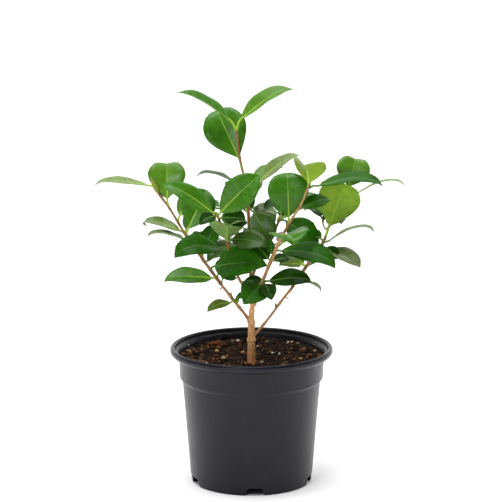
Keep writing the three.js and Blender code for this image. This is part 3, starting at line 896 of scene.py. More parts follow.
def tube(route, radius_at, sides, rings):
    """A round limb: a column of rings bent along a route, its radius told by share from root to tip."""
    shape = bmesh.new()
    bmesh.ops.create_cone(
        shape, cap_ends=True, cap_tris=False, segments=sides, radius1=1, radius2=1, depth=1,
    )
    uprights = [edge for edge in shape.edges if edge.verts[0].co.z * edge.verts[1].co.z < 0]
    bmesh.ops.subdivide_edges(shape, edges=uprights, cuts=rings - 1, use_grid_fill=True)
    chord = (route.point(1) - route.point(0)).normalized()
    across = Vector((0, 1, 0)) if abs(chord.y) < 0.7 else Vector((1, 0, 0))
    for vert in shape.verts:
        share = vert.co.z + 0.5
        tangent = route.tangent(share)
        side = tangent.cross(across).normalized()
        other = tangent.cross(side)
        radius = radius_at(share)
        vert.co = route.point(share) + radius * (vert.co.x * side + vert.co.y * other)
    return shape


def knotted(radii, knots, length, swell=0.3, spread=1.5):
    """Radius by share of a limb that swells at its knots."""
    def radius_at(share):
        bulge = sum(math.exp(-((share - knot) * length / spread) ** 2) for knot in knots)
        return value_along(radii, share) * (1 + swell * min(bulge, 1))
    return radius_at


# Leaf blades

def oval_half_width(share, wide, belly=BELLY_PLACE):
    """Half of an oval's width by share from end to end. A larger belly brings its widest part farther on."""
    return 0.5 * wide * max(math.sin(math.pi * share ** belly), 0) ** BELLY_FULLNESS


def blade_half_width(share, leaf):
    """Half of a blade's width by share from foot to tip: an oval that draws in to a drip tip."""
    oval = oval_half_width(share, leaf["wide"], leaf["belly"])
    drip = 1 - DRIP_NARROWING * eased(DRIP_START, DRIP_END, share)
    return max(oval * drip, blend(BLADE_ROOT_WIDTH, BLADE_TIP_WIDTH, share) / 2)


def blade(midrib, leaf, draws, tint, rib):
    """A thin blade bent along its midrib, folded, a little wavy and finely toothed at its margin."""
    shape = bmesh.new()
    bmesh.ops.create_grid(shape, x_segments=BLADE_COLUMNS, y_segments=BLADE_ROWS, size=0.5)
    middle_column = 1.01 / BLADE_COLUMNS
    for face in shape.faces:
        face.material_index = rib if abs(face.calc_center_median().x) < middle_column else tint
    fold = math.radians(leaf["fold"])
    roll = math.radians(draws.between(-BLADE_ROLL, BLADE_ROLL))
    phase = draws.between(0, 1)
    waves = draws.between(*WAVE_COUNT)
    wave_height = draws.between(*WAVE_HEIGHT)
    uv = shape.loops.layers.uv.new("Blade")
    columns = BLADE_COLUMNS // 2
    marks = {}
    for vert in shape.verts:
        column = round(vert.co.x * BLADE_COLUMNS)
        share = vert.co.y + 0.5
        row = round(share * BLADE_ROWS)
        half = blade_half_width(share, leaf)
        rib_half = min(blend(MIDRIB_ROOT_WIDTH, MIDRIB_TIP_WIDTH, share ** 0.7) / 2, 0.7 * half)
        reach = 0
        if column:
            reach = blend(rib_half, half, (abs(column) - 1) / (columns - 1))
        spread = reach / half
        at_margin = abs(column) == columns
        if at_margin and row % 2 == 1 and TEETH_START < share < TEETH_END:
            reach += TOOTH
            share += TOOTH_SLANT / leaf["long"]
        marks[vert] = (0.5 + 0.5 * math.copysign(spread, column), share)
        turned_by = roll * (share - ROLL_MIDDLE)
        up = midrib.top(share)
        side = math.cos(turned_by) * midrib.side + math.sin(turned_by) * up
        up = math.cos(turned_by) * up - math.sin(turned_by) * midrib.side
        wave = math.sin(math.tau * (waves * share + phase + (0.5 if column > 0 else 0)))
        lift = math.sin(fold) * (math.hypot(reach, RIB_ROUND) - RIB_ROUND)
        lift += half * (wave_height * wave * spread ** 2 - EDGE_DROOP * spread ** 4)
        place = midrib.point(share)
        vert.co = place + math.copysign(reach, column) * math.cos(fold) * side + lift * up
    for face in shape.faces:
        for loop in face.loops:
            loop[uv].uv = marks[loop.vert]
    return shape


def stalk_size(leaf):
    """The thickness of a leaf's stalk and rib, as a share of the largest ones'."""
    return min(1, FINEST_STALK + leaf["long"] / STALK_GROWTH)


def stalk(midrib, leaf):
    """A leaf's stalk, from the stem's middle to a little way under the blade."""
    seat = midrib.seat
    length = (seat.foot - seat.root).length
    middle = seat.root + 0.45 * length * seat.out + 0.14 * length * seat.along
    sunk = seat.foot + STALK_SINK * midrib.along(0) - 0.35 * midrib.up(0)
    size = leaf["stout"] * stalk_size(leaf)
    route = Route([seat.root, middle, seat.foot - 0.15 * midrib.up(0), sunk])
    return tube(route, lambda share: size * value_along(STALK_RADII, share), 8, 9)


def under_rib(midrib, leaf):
    """The rib that stands out beneath a blade."""
    size = stalk_size(leaf)
    route = Route([midrib.point(share) - RIB_SINK * midrib.top(share) for share in RIB_PLACES])
    return tube(route, lambda share: size * value_along(RIB_RADII, share), 6, 12)


def bud(foot, way, length, radius):
    """A pointed bud whose scales overlap in a spiral."""
    shape = bmesh.new()
    bmesh.ops.create_uvsphere(shape, u_segments=16, v_segments=14, radius=1)
    for vert in shape.verts:
        rise = (vert.co.z + 1) / 2
        angle = math.atan2(vert.co.y, vert.co.x)
        scale_edge = (2.5 * rise + angle / math.tau * 2) % 1
        belly = math.sin(math.pi * rise ** 0.8) ** 0.75 if 0 < rise < 1 else 0
        wide = radius * belly * (1 + 0.12 * (1 - scale_edge))
        vert.co = Vector((wide * math.cos(angle), wide * math.sin(angle), length * (rise - 0.12)))
    turn = way.to_track_quat("Z", "Y").to_matrix().to_4x4()
    bmesh.ops.transform(shape, matrix=Matrix.Translation(foot) @ turn, verts=shape.verts)
    return shape


# Finishes

class Signal:
    """A value that varies over a surface. Arithmetic on it adds Math nodes to its tree."""

    def __init__(self, nodes, socket):
        self.nodes = nodes
        self.socket = socket

    def math(self, operation, first, second=0.0):
        return self.nodes.node("ShaderNodeMath", {"operation": operation}, {0: first, 1: second})

    def __add__(self, other):
        return self.math("ADD", self, other)

    def __radd__(self, other):
        return self.math("ADD", other, self)

    def __sub__(self, other):
        return self.math("SUBTRACT", self, other)

    def __rsub__(self, other):
        return self.math("SUBTRACT", other, self)

    def __mul__(self, other):
        return self.math("MULTIPLY", self, other)

    def __rmul__(self, other):
        return self.math("MULTIPLY", other, self)

    def __pow__(self, other):
        return self.math("POWER", self, other)

    def __abs__(self):
        return self.math("ABSOLUTE", self)

    def fraction(self):
        return self.math("FRACT", self)

    def above(self, level):
        return self.math("GREATER_THAN", self, level)


class Nodes:
    """Nodes that are worked out in a tree."""

    def __init__(self, tree):
        self.tree = tree

    def node(self, kind, settings, sockets, output=0):
        """Adds a node: its settings first, then the values or links of its sockets."""
        made = self.tree.nodes.new(kind)
        for name, value in settings.items():
            setattr(made, name, value)
        for name, value in sockets.items():
            if isinstance(value, Signal):
                self.tree.links.new(value.socket, made.inputs[name])
            else:
                made.inputs[name].default_value = value
        return Signal(self, made.outputs[output])

    def spread(self, signal, low, high):
        """Brings a signal's range from low to high onto 0 to 1."""
        return self.node("ShaderNodeMapRange", {}, {"Value": signal, "From Min": low, "From Max": high})


class Finish(Nodes):
    """A material: its shader, and the nodes that feed it."""

    def __init__(self, name, color, **shader):
        self.material = bpy.data.materials.new(name)
        self.material.use_nodes = True
        super().__init__(self.material.node_tree)
        self.shader = self.tree.nodes["Principled BSDF"]
        self.shader.inputs["Base Color"].default_value = color
        for words, value in shader.items():
            self.shader.inputs[words.replace("_", " ").title().replace("Ior", "IOR")].default_value = value

    def feed(self, name, signal):
        self.tree.links.new(signal.socket, self.shader.inputs[name])

    def place(self):
        return self.node("ShaderNodeTexCoord", {}, {}, "Object")

    def height(self):
        """Height on the piece, in metres."""
        return self.node("ShaderNodeSeparateXYZ", {}, {0: self.place()}, 2)

    def blade_place(self, axis):
        """A place on a leaf from 0 to 1, across its blade on axis 0 and from foot to tip on axis 1."""
        blade_map = self.node("ShaderNodeUVMap", {"uv_map": "Blade"}, {})
        return self.node("ShaderNodeSeparateXYZ", {}, {0: blade_map}, axis)

    def side_veins(self, clouds):
        """The place out from a blade's midrib, and how high the slightly wavering side veins rise there."""
        across_map = self.blade_place(0)
        across = abs(across_map * 2 - 1)
        alternate = across_map.above(0.5) * 0.5
        sweep = self.blade_place(1) * SIDE_VEINS - across ** 0.8 * VEIN_SWEEP + alternate + clouds * 0.35
        return across, abs(sweep.fraction() - 0.5) * 2

    def stretched(self, scale):
        """The place on the piece, stretched by a scale on each axis."""
        return self.node("ShaderNodeVectorMath", {"operation": "MULTIPLY"}, {0: self.place(), 1: scale})

    def noise(self, size, detail=3.0, place=None):
        """Cloudy noise about 0.5, its size in millimetres."""
        return self.node(
            "ShaderNodeTexNoise",
            {},
            {"Vector": place or self.place(), "Scale": 1 / (size * MM), "Detail": detail},
        )

    def mix(self, share, first, second):
        return self.node("ShaderNodeMix", {"data_type": "RGBA"}, {0: share, 6: first, 7: second}, 2)

    def bump(self, height, depth):
        """Raises the surface by a height from 0 to 1, its depth in millimetres."""
        self.feed("Normal", self.node("ShaderNodeBump", {}, {"Height": height, "Distance": depth * MM}))


def toned(color, share):
    """A colour made darker or lighter by a share."""
    return (*[min(part * share, 1) for part in color[:3]], 1)


def leaf_upper(tint):
    """Glossy upper side: clouded green with sunken, slightly paler side veins."""
    code, vein_code, gloss = TINTS[tint]
    color = paint(code)
    vein_color = paint(vein_code)
    finish = Finish("leaf_" + tint, color, roughness=0.3, specular_ior_level=gloss)
    clouds = finish.noise(6)
    across, ridge = finish.side_veins(clouds)
    vein = finish.spread(ridge, 0.82, 1) * (1 - across ** 4)
    cloudy = finish.mix(finish.spread(clouds, 0.3, 0.7), toned(color, 0.82), toned(color, 1.14))
    paler_foot = finish.spread(finish.blade_place(1), 0.4, 0) * 0.25
    ground = finish.mix(paler_foot, cloudy, vein_color)
    finish.feed("Base Color", finish.mix(vein * 0.16, ground, vein_color))
    finish.feed("Roughness", 0.2 + clouds * 0.14)
    grain = finish.noise(0.7, detail=2)
    finish.bump(0.75 - ridge ** 4 * 0.6 + grain * 0.1, 0.07)
    return finish.material


def leaf_under(name, low_color, high_color):
    """Dull, paler underside with raised side veins."""
    finish = Finish(name, paint(high_color), roughness=0.55, specular_ior_level=0.2)
    clouds = finish.noise(5)
    ridge = finish.side_veins(clouds)[1]
    vein_color = toned(paint(high_color), 1.4)
    ground = finish.mix(finish.spread(clouds, 0.3, 0.7), paint(low_color), paint(high_color))
    finish.feed("Base Color", finish.mix(finish.spread(ridge, 0.84, 1) * 0.2, ground, vein_color))
    finish.feed("Roughness", 0.5 + clouds * 0.15)
    finish.bump(ridge ** 4 * 0.6 + finish.noise(0.6) * 0.2, 0.14)
    return finish.material


def green_rib(name, low_color, high_color, tip_color):
    """Smooth lime green of the midribs and stalks, which fades to the blade's green toward the tip."""
    finish = Finish(name, paint(high_color), roughness=0.42, specular_ior_level=0.4)
    clouds = finish.noise(3)
    green = finish.mix(finish.spread(clouds, 0.35, 0.65), paint(low_color), paint(high_color))
    fading = finish.spread(finish.blade_place(1), 0.1, 0.75) * 0.85
    finish.feed("Base Color", finish.mix(fading, green, paint(tip_color)))
    finish.feed("Roughness", 0.36 + clouds * 0.16)
    finish.bump(finish.noise(0.5), 0.05)
    return finish.material


def twig_bark(name):
    """Thin bark of a twig: a clouded ground with lengthwise streaks and small pale pores."""
    dark, ground, pale, roughness = TWIG_BARKS[name]
    finish = Finish(name, paint(ground), roughness=roughness, specular_ior_level=0.3)
    clouds = finish.noise(5)
    streaks = finish.noise(1, detail=2, place=finish.stretched((1, 1, 0.18)))
    pores = finish.noise(0.9, detail=1)
    coat = finish.mix(finish.spread(clouds, 0.3, 0.7), paint(ground), paint(pale))
    streaked = finish.mix(finish.spread(streaks, 0.52, 0.68), coat, paint(dark))
    finish.feed("Base Color", finish.mix(finish.spread(pores, 0.66, 0.74) * 0.6, streaked, paint(pale)))
    finish.feed("Roughness", roughness - 0.1 + clouds * 0.2)
    finish.bump(streaks * 0.7 + pores * 0.3, 0.12)
    return finish.material


def limb_bark():
    """Bark of the trunk and boughs: tan on the trunk, browner on the boughs, with dark flecks along it."""
    finish = Finish("limb_bark", paint("a5744a"), roughness=0.78, specular_ior_level=0.3)
    tone = finish.node("ShaderNodeAttribute", {"attribute_name": "tone"}, {}, "Fac")
    clouds = finish.noise(6)
    flecks = finish.noise(0.9, detail=3, place=finish.stretched((1, 1, 0.16)))
    fine = finish.noise(0.35, detail=2)
    old = finish.mix(finish.spread(finish.height(), 0.114, 0.132), paint("c47c46"), paint("f4b67c"))
    aged = finish.mix(tone, old, paint("7c5232"))
    cloudy = finish.mix(finish.spread(clouds, 0.35, 0.7) * 0.35, aged, paint("e6bd90"))
    flecked = finish.mix(finish.spread(flecks, 0.5, 0.64) * 0.6, cloudy, paint("84492a"))
    finish.feed("Base Color", flecked)
    finish.feed("Roughness", 0.68 + clouds * 0.2)
    finish.bump(0.8 - flecks * 0.6 + fine * 0.25, 0.22)
    return finish.material


def pot_plastic():
    """Satin black plastic with a faint moulded grain, a few scuffs and a little dust."""
    finish = Finish("pot_plastic", paint("121216"), roughness=0.33, specular_ior_level=0.27)
    clouds = finish.noise(30, detail=4)
    scuffs = finish.noise(6, detail=5, place=finish.stretched((1, 1, 0.3)))
    dust = finish.spread(scuffs, 0.58, 0.75) * 0.16
    ground = finish.mix(finish.spread(clouds, 0.3, 0.7), paint("0b0a14"), paint("14121d"))
    finish.feed("Base Color", finish.mix(dust, ground, paint("3c3a38")))
    rim = finish.spread(finish.height(), 0.1195, 0.1215)
    finish.feed("Roughness", 0.3 + clouds * 0.08 + dust - rim * 0.08)
    finish.bump(finish.noise(0.55, detail=2), 0.035)
    return finish.material


def pot_inside():
    """Dull black of the pot's inner wall, a little dusty with peat."""
    finish = Finish("pot_inside", paint("101013"), roughness=0.6, specular_ior_level=0.22)
    dust = finish.spread(finish.noise(4, detail=4), 0.5, 0.75) * 0.3
    finish.feed("Base Color", finish.mix(dust, paint("101013"), paint("2a231c")))
    finish.feed("Roughness", 0.55 + dust * 0.5)
    finish.bump(finish.noise(0.6, detail=2), 0.05)
    return finish.material


def crumb(name):
    """One kind of crumb in the potting mix."""
    dark, pale, roughness = CRUMBS[name]
    finish = Finish(name, paint(pale), roughness=roughness, specular_ior_level=0.2)
    clouds = finish.noise(1.6)
    finish.feed("Base Color", finish.mix(finish.spread(clouds, 0.35, 0.65), paint(dark), paint(pale)))
    finish.feed("Roughness", roughness - 0.08 + clouds * 0.1)
    finish.bump(finish.noise(0.5), 0.25)
    return finish.material


def bud_scales():
    """Bud scales: yellow green with brown edges."""
    finish = Finish("bud_scales", paint("8f9440"), roughness=0.5, specular_ior_level=0.4)
    clouds = finish.noise(2.2)
    scales = finish.mix(finish.spread(clouds, 0.3, 0.46), paint("5e3f1c"), paint("7e8c26"))
    finish.feed("Base Color", scales)
    finish.feed("Roughness", 0.42 + clouds * 0.15)
    finish.bump(finish.noise(0.5), 0.1)
    return finish.material


# Pot

def notch_cutter():
    """The blocks that cut the drainage notches."""
    cutter = Gathering()
    for i in range(NOTCH_COUNT):
        block = bmesh.new()
        outline = [
            (-NOTCH_WIDTH / 2, -1), (NOTCH_WIDTH / 2, -1),
            (NOTCH_TOP_WIDTH / 2, NOTCH_HEIGHT), (-NOTCH_TOP_WIDTH / 2, NOTCH_HEIGHT),
        ]
        inner = FOOT_RADIUS - NOTCH_DEPTH
        base = block.faces.new([block.verts.new((x, -inner, z)) for x, z in outline])
        grown = bmesh.ops.extrude_face_region(block, geom=[base])["geom"]
        moved = [item for item in grown if isinstance(item, bmesh.types.BMVert)]
        bmesh.ops.translate(block, vec=(0, -2 * NOTCH_DEPTH, 0), verts=moved)
        bmesh.ops.recalc_face_normals(block, faces=block.faces)
        turn = math.radians(NOTCH_TURN + i * 360 / NOTCH_COUNT)
        cutter.add(block, place=Matrix.Rotation(turn, 4, "Z"))
    return piece("notch_cutter", cutter.shape, [])


def make_pot():
    """The pot, turned as one wall from its underside over the rim to its floor, with notches in its foot."""
    lip_low = POT_HEIGHT - LIP_DEPTH
    opening = RIM_RADIUS - RIM_WIDTH
    slope = (BODY_TOP_RADIUS - FOOT_RADIUS) / STEP_HEIGHT
    line_radius = FOOT_RADIUS + slope * FOOT_LINE_HEIGHT
    profile = [
        (0, FOOT_HOLLOW),
        (FOOT_RADIUS - FOOT_RING - 1, FOOT_HOLLOW),
        (FOOT_RADIUS - FOOT_RING, 0),
        (FOOT_RADIUS - FOOT_EDGE, 0),
        (FOOT_RADIUS, FOOT_EDGE),
        (line_radius, FOOT_LINE_HEIGHT),
        (line_radius + FOOT_LINE_STEP, FOOT_LINE_HEIGHT + 0.5),
        (BODY_TOP_RADIUS, STEP_HEIGHT),
        (COLLAR_LOW_RADIUS, COLLAR_LOW_HEIGHT),
        (COLLAR_TOP_RADIUS, lip_low - 2.4),
        (COLLAR_TOP_RADIUS + 1.5, lip_low - 1.8),
        (RIM_RADIUS - 2.4, lip_low - 0.6),
        (RIM_RADIUS - 0.7, lip_low + 0.9),
        (RIM_RADIUS, lip_low + 2.3),
        (RIM_RADIUS, POT_HEIGHT - 2.2),
        (RIM_RADIUS - 0.9, POT_HEIGHT - 0.6),
        (RIM_RADIUS - 2.1, POT_HEIGHT),
        (opening + 0.6, POT_HEIGHT - 0.5),
        (opening, POT_HEIGHT - 1.4),
        (opening - 0.3, lip_low + 3.2),
        (opening - 0.7, lip_low + 2.8),
        (opening - 2.7, lip_low + 2.5),
        (opening - 3.2, lip_low + 2.0),
        (COLLAR_TOP_RADIUS - COLLAR_WALL, lip_low - 0.4),
        (COLLAR_LOW_RADIUS - COLLAR_WALL, COLLAR_LOW_HEIGHT + 1),
        (BODY_TOP_RADIUS - WALL, STEP_HEIGHT + 0.6),
        (FOOT_RADIUS - WALL, FLOOR),
        (0, FLOOR),
    ]
    finishes = [pot_plastic(), pot_inside()]
    pot = piece("pot_shell", turned(profile, POT_SIDES), finishes, "pot_plastic", ["pot"])
    cutter = notch_cutter()
    notches = pot.modifiers.new("notches", "BOOLEAN")
    notches.operation = "DIFFERENCE"
    notches.solver = "EXACT"
    notches.object = cutter
    rounding = pot.modifiers.new("rounding", "BEVEL")
    rounding.width = POT_EDGE_ROUND * MM
    rounding.segments = 2
    rounding.limit_method = "ANGLE"
    rounding.angle_limit = math.radians(ROUNDED_ANGLE)
    settle(pot)
    bpy.data.objects.remove(cutter)
    for face in pot.data.polygons:
        looks_in = face.normal.x * face.center.x + face.normal.y * face.center.y < 0
        face.material_index = 1 if looks_in and face.normal.z < 0.5 else 0
    pot.data.shade_smooth()
    pot.data.set_sharp_from_angle(angle=math.radians(POT_SHARP_ANGLE))


# Potting mix

def mix_height(radius):
    """Height of the mix's top at a distance from the pot's middle."""
    slope_end = MIX_DIP_RADIUS + MIX_SLOPE
    if radius < MIX_DIP_RADIUS:
        return MIX_DIP_HEIGHT
    if radius < slope_end:
        return blend(MIX_DIP_HEIGHT, MIX_LEVEL_HEIGHT, (radius - MIX_DIP_RADIUS) / MIX_SLOPE)
    return blend(MIX_LEVEL_HEIGHT, MIX_EDGE_HEIGHT, (radius - slope_end) / (MIX_RADIUS - slope_end))


def mix_relief(x, y):
    """Unevenness of the mix's top."""
    coarse = noise.noise(Vector((x, y, 0)) / MIX_WAVE)
    fine = noise.noise(Vector((x, y, 9)) / MIX_FINE_WAVE)
    return MIX_RELIEF * coarse + 0.5 * MIX_RELIEF * fine


def crumb_meshes(draws):
    """A few rough shapes, which all the crumbs share."""
    meshes = []
    for _ in range(CRUMB_SHAPES):
        shape = bmesh.new()
        bmesh.ops.create_icosphere(shape, subdivisions=1, radius=1)
        for vert in shape.verts:
            vert.co *= draws.between(0.7, 1.15)
        mesh = bpy.data.meshes.new("crumb")
        shape.to_mesh(mesh)
        shape.free()
        meshes.append(mesh)
    return meshes


def make_potting_mix():
    """The bed of mix, with crumbs scattered over it and the larger chips in their places."""
    inset = WALL + MIX_CLEAR
    reaches = [MIX_RADIUS * (1 - i / MIX_RINGS) for i in range(MIX_RINGS + 1)]
    profile = [
        (0, FLOOR + 0.3),
        (FOOT_RADIUS - inset - 6, FLOOR + 0.3),
        (FOOT_RADIUS - inset, FLOOR + 5.3),
        (BODY_TOP_RADIUS - inset, STEP_HEIGHT),
        (COLLAR_LOW_RADIUS - COLLAR_WALL - MIX_CLEAR, COLLAR_LOW_HEIGHT + 1),
        *[(reach, mix_height(reach)) for reach in reaches],
    ]
    bed = turned(profile, MIX_SIDES)
    for vert in bed.verts:
        if vert.co.z > MIX_DIP_HEIGHT - 1:
            vert.co.z += mix_relief(vert.co.x, vert.co.y)
    kinds = list(CRUMBS)
    finishes = [crumb(kind) for kind in kinds]
    whole = Gathering()
    whole.add(bed, finish=kinds.index("peat_dark"))
    draws = Draws(71)
    meshes = crumb_meshes(draws)

    def scatter(x, y, size, stretch, kind, sink=0.2):
        height = mix_height(math.hypot(x, y)) + mix_relief(x, y)
        turn = Matrix.Rotation(draws.between(0, math.tau), 3, "Z")
        turn = turn @ Matrix.Rotation(draws.between(-0.7, 0.7), 3, "X")
        shape = whole.shape
        first_vert = len(shape.verts)
        first_face = len(shape.faces)
        shape.from_mesh(draws.pick(meshes))
        shape.verts.ensure_lookup_table()
        shape.faces.ensure_lookup_table()
        middle = Vector((x, y, height + size * sink))
        for vert in shape.verts[first_vert:]:
            vert.co = middle + turn @ Vector((vert.co.x * stretch, vert.co.y, vert.co.z * 0.65)) * size
        for face in shape.faces[first_face:]:
            face.material_index = kinds.index(kind)

    for _ in range(CRUMB_COUNT):
        reach = (MIX_RADIUS - CRUMB_MARGIN) * math.sqrt(draws.between(0, 1))
        turn = draws.between(0, math.tau)
        size = blend(CRUMB_SMALLEST, CRUMB_LARGEST, draws.between(0, 1) ** 4)
        kind = draws.pick(CRUMB_DEAL)
        scatter(reach * math.cos(turn), reach * math.sin(turn), size, draws.between(1, 2.4), kind)
    for x, y, size, kind in CHIPS:
        scatter(x, y, size, 1.5, kind, sink=0.5)
    for mesh in meshes:
        bpy.data.meshes.remove(mesh)
    piece("potting_mix_bed", whole.shape, finishes, "potting_mix", ["potting_mix"], smooth_angle=50)


# Trunk and boughs

def limb_tube(item, base_flare):
    """A limb with its knots, which widens at its foot by the base flare."""
    route = Route(item["places"])
    length = route.length()
    radius_at = knotted(item["radii"], item["knots"], length, swell=0.28)

    def flared(share):
        return radius_at(share) + base_flare * math.exp(-share * length / FLARE_LENGTH)

    return tube(route, flared, LIMB_SIDES, max(int(length / LIMB_RING), 12))


def stub(item):
    """The stub of a lost side twig, swollen at its end."""
    foot = bough_route(item["bough"]).point(item["at"])
    tip = foot + item["length"] * way_of(item["turn"], item["rise"])
    radii = [1.4 * item["radius"], item["radius"], 0.85 * item["radius"]]
    radius_at = knotted(radii, (0.9,), item["length"], swell=0.2, spread=1)
    return tube(Route([foot, foot.lerp(tip, 0.5), tip]), radius_at, 16, 8)


def limb_values(points, limbs):
    """The tone and the thickness of the limb that each point lies on, blended where limbs meet."""
    weights = np.zeros(len(points))
    tones = np.zeros(len(points))
    radii = np.zeros(len(points))
    for item in limbs:
        route = Route(item["places"])
        marks = np.array([route.point(i / LIMB_MARKS) for i in range(LIMB_MARKS + 1)])
        mark_radii = np.array([value_along(item["radii"], i / LIMB_MARKS) for i in range(LIMB_MARKS + 1)])
        away = np.linalg.norm(points[:, None, :] - marks[None, :, :], axis=2)
        nearest = np.argmin(away, axis=1)
        gap = np.min(away, axis=1) - 0.8 * mark_radii[nearest]
        weight = 1 / gap.clip(0.2) ** 3
        weights += weight
        tones += weight * item["tone"]
        radii += weight * mark_radii[nearest]
    return tones / weights, radii / weights


def read_points(mesh, name):
    """A mesh's places or normals, one row for each point."""
    flat = np.empty(len(mesh.vertices) * 3, dtype=np.float32)
    mesh.vertices.foreach_get(name, flat)
    return flat.reshape(-1, 3)


def make_limbs():
    """The trunk and the boughs, joined in one mesh, with the bark's relief in it."""
    whole = Gathering()
    whole.add(limb_tube(TRUNK, TRUNK_FLARE))
    for item in BOUGHS.values():
        whole.add(limb_tube(item, BOUGH_FLARE))
    for item in STUBS:
        whole.add(stub(item))
    nodes = ["trunk", *BOUGHS]
    limbs = piece("limbs", whole.shape, [limb_bark()], "trunk_bark", nodes)
    joining = limbs.modifiers.new("joining", "REMESH")
    joining.mode = "VOXEL"
    joining.voxel_size = BARK_VOXEL * MM
    settle(limbs)
    mesh = limbs.data
    points = read_points(mesh, "co") / MM
    tones, radii = limb_values(points, [TRUNK, *BOUGHS.values()])
    relief = np.array([
        noise.noise(Vector((x / 0.9, y / 0.9, z / 6))) + 1.3 * noise.noise(Vector((x, y, z)) / 3.2)
        for x, y, z in points
    ])
    depth = BARK_RELIEF * (radii / max(TRUNK["radii"])).clip(0.3, 1)
    points += (relief * depth)[:, None] * read_points(mesh, "normal")
    mesh.vertices.foreach_set("co", (points * MM).ravel())
    layer = mesh.attributes.new("tone", "FLOAT", "POINT")
    layer.data.foreach_set("value", tones.astype(np.float32))
    mesh.update()
    mesh.shade_smooth()


# Foliage

class Foliage:
    """What all the masses share: their finishes, and the stalks, twigs and buds, each kind joined."""

    def __init__(self):
        self.upper = {tint: leaf_upper(tint) for tint in TINTS}
        self.under = leaf_under("leaf_underside", "6a8a42", "7e9e56")
        # The young underside's yellow green is partly its own colour and partly painted light that shines
        # through the blade from behind.
        self.young_backlit_under = leaf_under("young_leaf_underside_backlit", "6a921e", "82a428")
        self.ribs = [
            green_rib("rib_pale", "82a622", "9cba38", "588820"),
            green_rib("rib_dark", "3f6a1c", "557f2a", "26560e"),
        ]
        self.barks = list(TWIG_BARKS)
        self.stalks = Gathering()
        self.twigs = Gathering()
        self.buds = Gathering()
        self.draws = Draws(907)

    def add_leaf(self, route, item, blades, tints):
        """Adds a leaf's blade to its mass, and its stalk and rib to the stalks."""
        midrib = Midrib(Seat(route, item), item)
        rib = 0 if item["tint"] in PALE_RIBBED else 1
        blades.add(blade(midrib, item, self.draws, tints.index(item["tint"]), len(tints) + rib))
        self.stalks.add(stalk(midrib, item), rib)
        self.stalks.add(under_rib(midrib, item), rib)

    def add_stem(self, stem, blades, tints):
        """Adds a stem with its leaves, and a small bud in the axil of each."""
        route = stem["route"]
        knots = [item["at"] for item in stem["leaves"]]
        radius_at = knotted(stem["radii"], knots, route.length(), swell=0.25)
        self.twigs.add(tube(route, radius_at, 12, 10 * route.spans), self.barks.index(stem["bark"]))
        for item in stem["leaves"]:
            self.add_leaf(route, item, blades, tints)
            if item["at"] < AXIL_BUD_LAST:
                axil = Seat(route, item)
                way = (axil.along + 0.6 * axil.way).normalized()
                self.buds.add(bud(axil.root + 0.8 * axil.out, way, AXIL_BUD_LENGTH, AXIL_BUD_RADIUS))

    def make_mass(self, name, stems):
        """Makes one mass's blades as a piece, and adds all else that grows with them."""
        new = NEW_LEAVES.get(name, dict(leaves=[]))
        listed = [item for stem in stems for item in stem["leaves"]]
        tints = sorted({item["tint"] for item in listed + new["leaves"]})
        blades = Gathering()
        for stem in stems:
            self.add_stem(stem, blades, tints)
        if "bud" in MASSES[name]:
            route = stems[0]["route"]
            at, length, radius = MASSES[name]["bud"]
            self.buds.add(bud(route.point(at), route.tangent(at), length, radius))
        for item in new["leaves"]:
            self.add_leaf(bough_route(new["bough"]), item, blades, tints)
        uppers = [self.upper[tint] for tint in tints] + self.ribs
        unders = [self.young_backlit_under if tint == "lime" else self.under for tint in tints] + self.ribs
        made = piece(name + "_blades", blades.shape, uppers + unders, "foliage", [name])
        wall = made.modifiers.new("thickness", "SOLIDIFY")
        wall.thickness = BLADE_THICKNESS * MM
        wall.offset = -1
        wall.material_offset = len(uppers)
        wall.material_offset_rim = 0

    def make_shared(self):
        """Makes the stalks, the twigs and the buds of the whole crown, each kind as one piece."""
        for item in SIDE_BUDS:
            foot = bough_route(item["bough"]).point(item["at"])
            way = way_of(item["turn"], item["rise"])
            self.buds.add(bud(foot + way, way, item["length"], item["radius"]))
        piece("leaf_stalks", self.stalks.shape, self.ribs, "foliage")
        piece("twigs", self.twigs.shape, [twig_bark(name) for name in self.barks], "young_bark")
        piece("buds", self.buds.shape, [bud_scales()], "foliage")


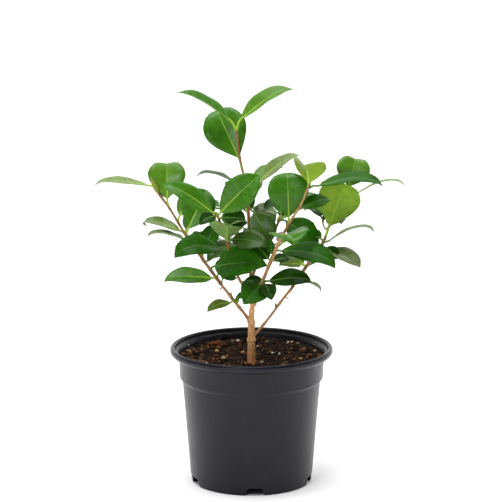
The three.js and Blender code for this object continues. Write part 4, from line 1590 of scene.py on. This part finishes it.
def make_foliage():
    foliage = Foliage()
    for name, stems in plan_crown().items():
        foliage.make_mass(name, stems)
    foliage.make_shared()


# Studio

def make_floor():
    finish = Finish("pale_floor", (0.86, 0.86, 0.86, 1), roughness=0.9, specular_ior_level=0.1)
    shape = bmesh.new()
    bmesh.ops.create_grid(shape, x_segments=1, y_segments=1, size=FLOOR_REACH / MM)
    piece("floor", shape, [finish.material])


def softbox(name, place, size, watts):
    """A plain soft square light that looks at the shrub's middle."""
    light = bpy.data.lights.new(name, "AREA")
    light.shape = "SQUARE"
    light.size = size
    light.energy = watts
    made = bpy.data.objects.new(name, light)
    made.location = place
    made.rotation_euler = (Vector(LIGHT_AIM) - Vector(place)).to_track_quat("-Z", "Y").to_euler()
    bpy.context.scene.collection.objects.link(made)


def make_studio():
    make_floor()
    for name, light in LIGHTS.items():
        softbox(name, **light)
    world = bpy.data.worlds.new("studio")
    world.use_nodes = True
    surround = Nodes(world.node_tree)
    way = surround.node("ShaderNodeTexCoord", {}, {}, "Generated")
    behind = surround.node("ShaderNodeSeparateXYZ", {}, {0: way}, 1)
    overhead = surround.node("ShaderNodeSeparateXYZ", {}, {0: way}, 2)
    glow = surround.spread(overhead, 0.75, 1) * SURROUND_TOP
    glow = glow + surround.spread(behind, -0.3, 0.8) * SURROUND_BACK
    background = world.node_tree.nodes["Background"]
    background.inputs["Color"].default_value = (1, 1, 1, 1)
    world.node_tree.links.new((glow + SURROUND_FRONT).socket, background.inputs["Strength"])
    bpy.context.scene.world = world
    bpy.context.scene.view_settings.view_transform = "Standard"


def make_camera():
    camera = bpy.data.cameras.new("camera")
    camera.sensor_width = CAMERA_SENSOR
    camera.lens = CAMERA_LENS
    camera.clip_end = CAMERA_REACH
    made = bpy.data.objects.new("camera", camera)
    made.location = CAMERA_PLACE
    made.rotation_euler = (math.radians(CAMERA_TILT), 0, 0)
    bpy.context.scene.collection.objects.link(made)
    bpy.context.scene.camera = made


make_camera()
make_pot()
make_potting_mix()
make_limbs()
make_foliage()
make_studio()
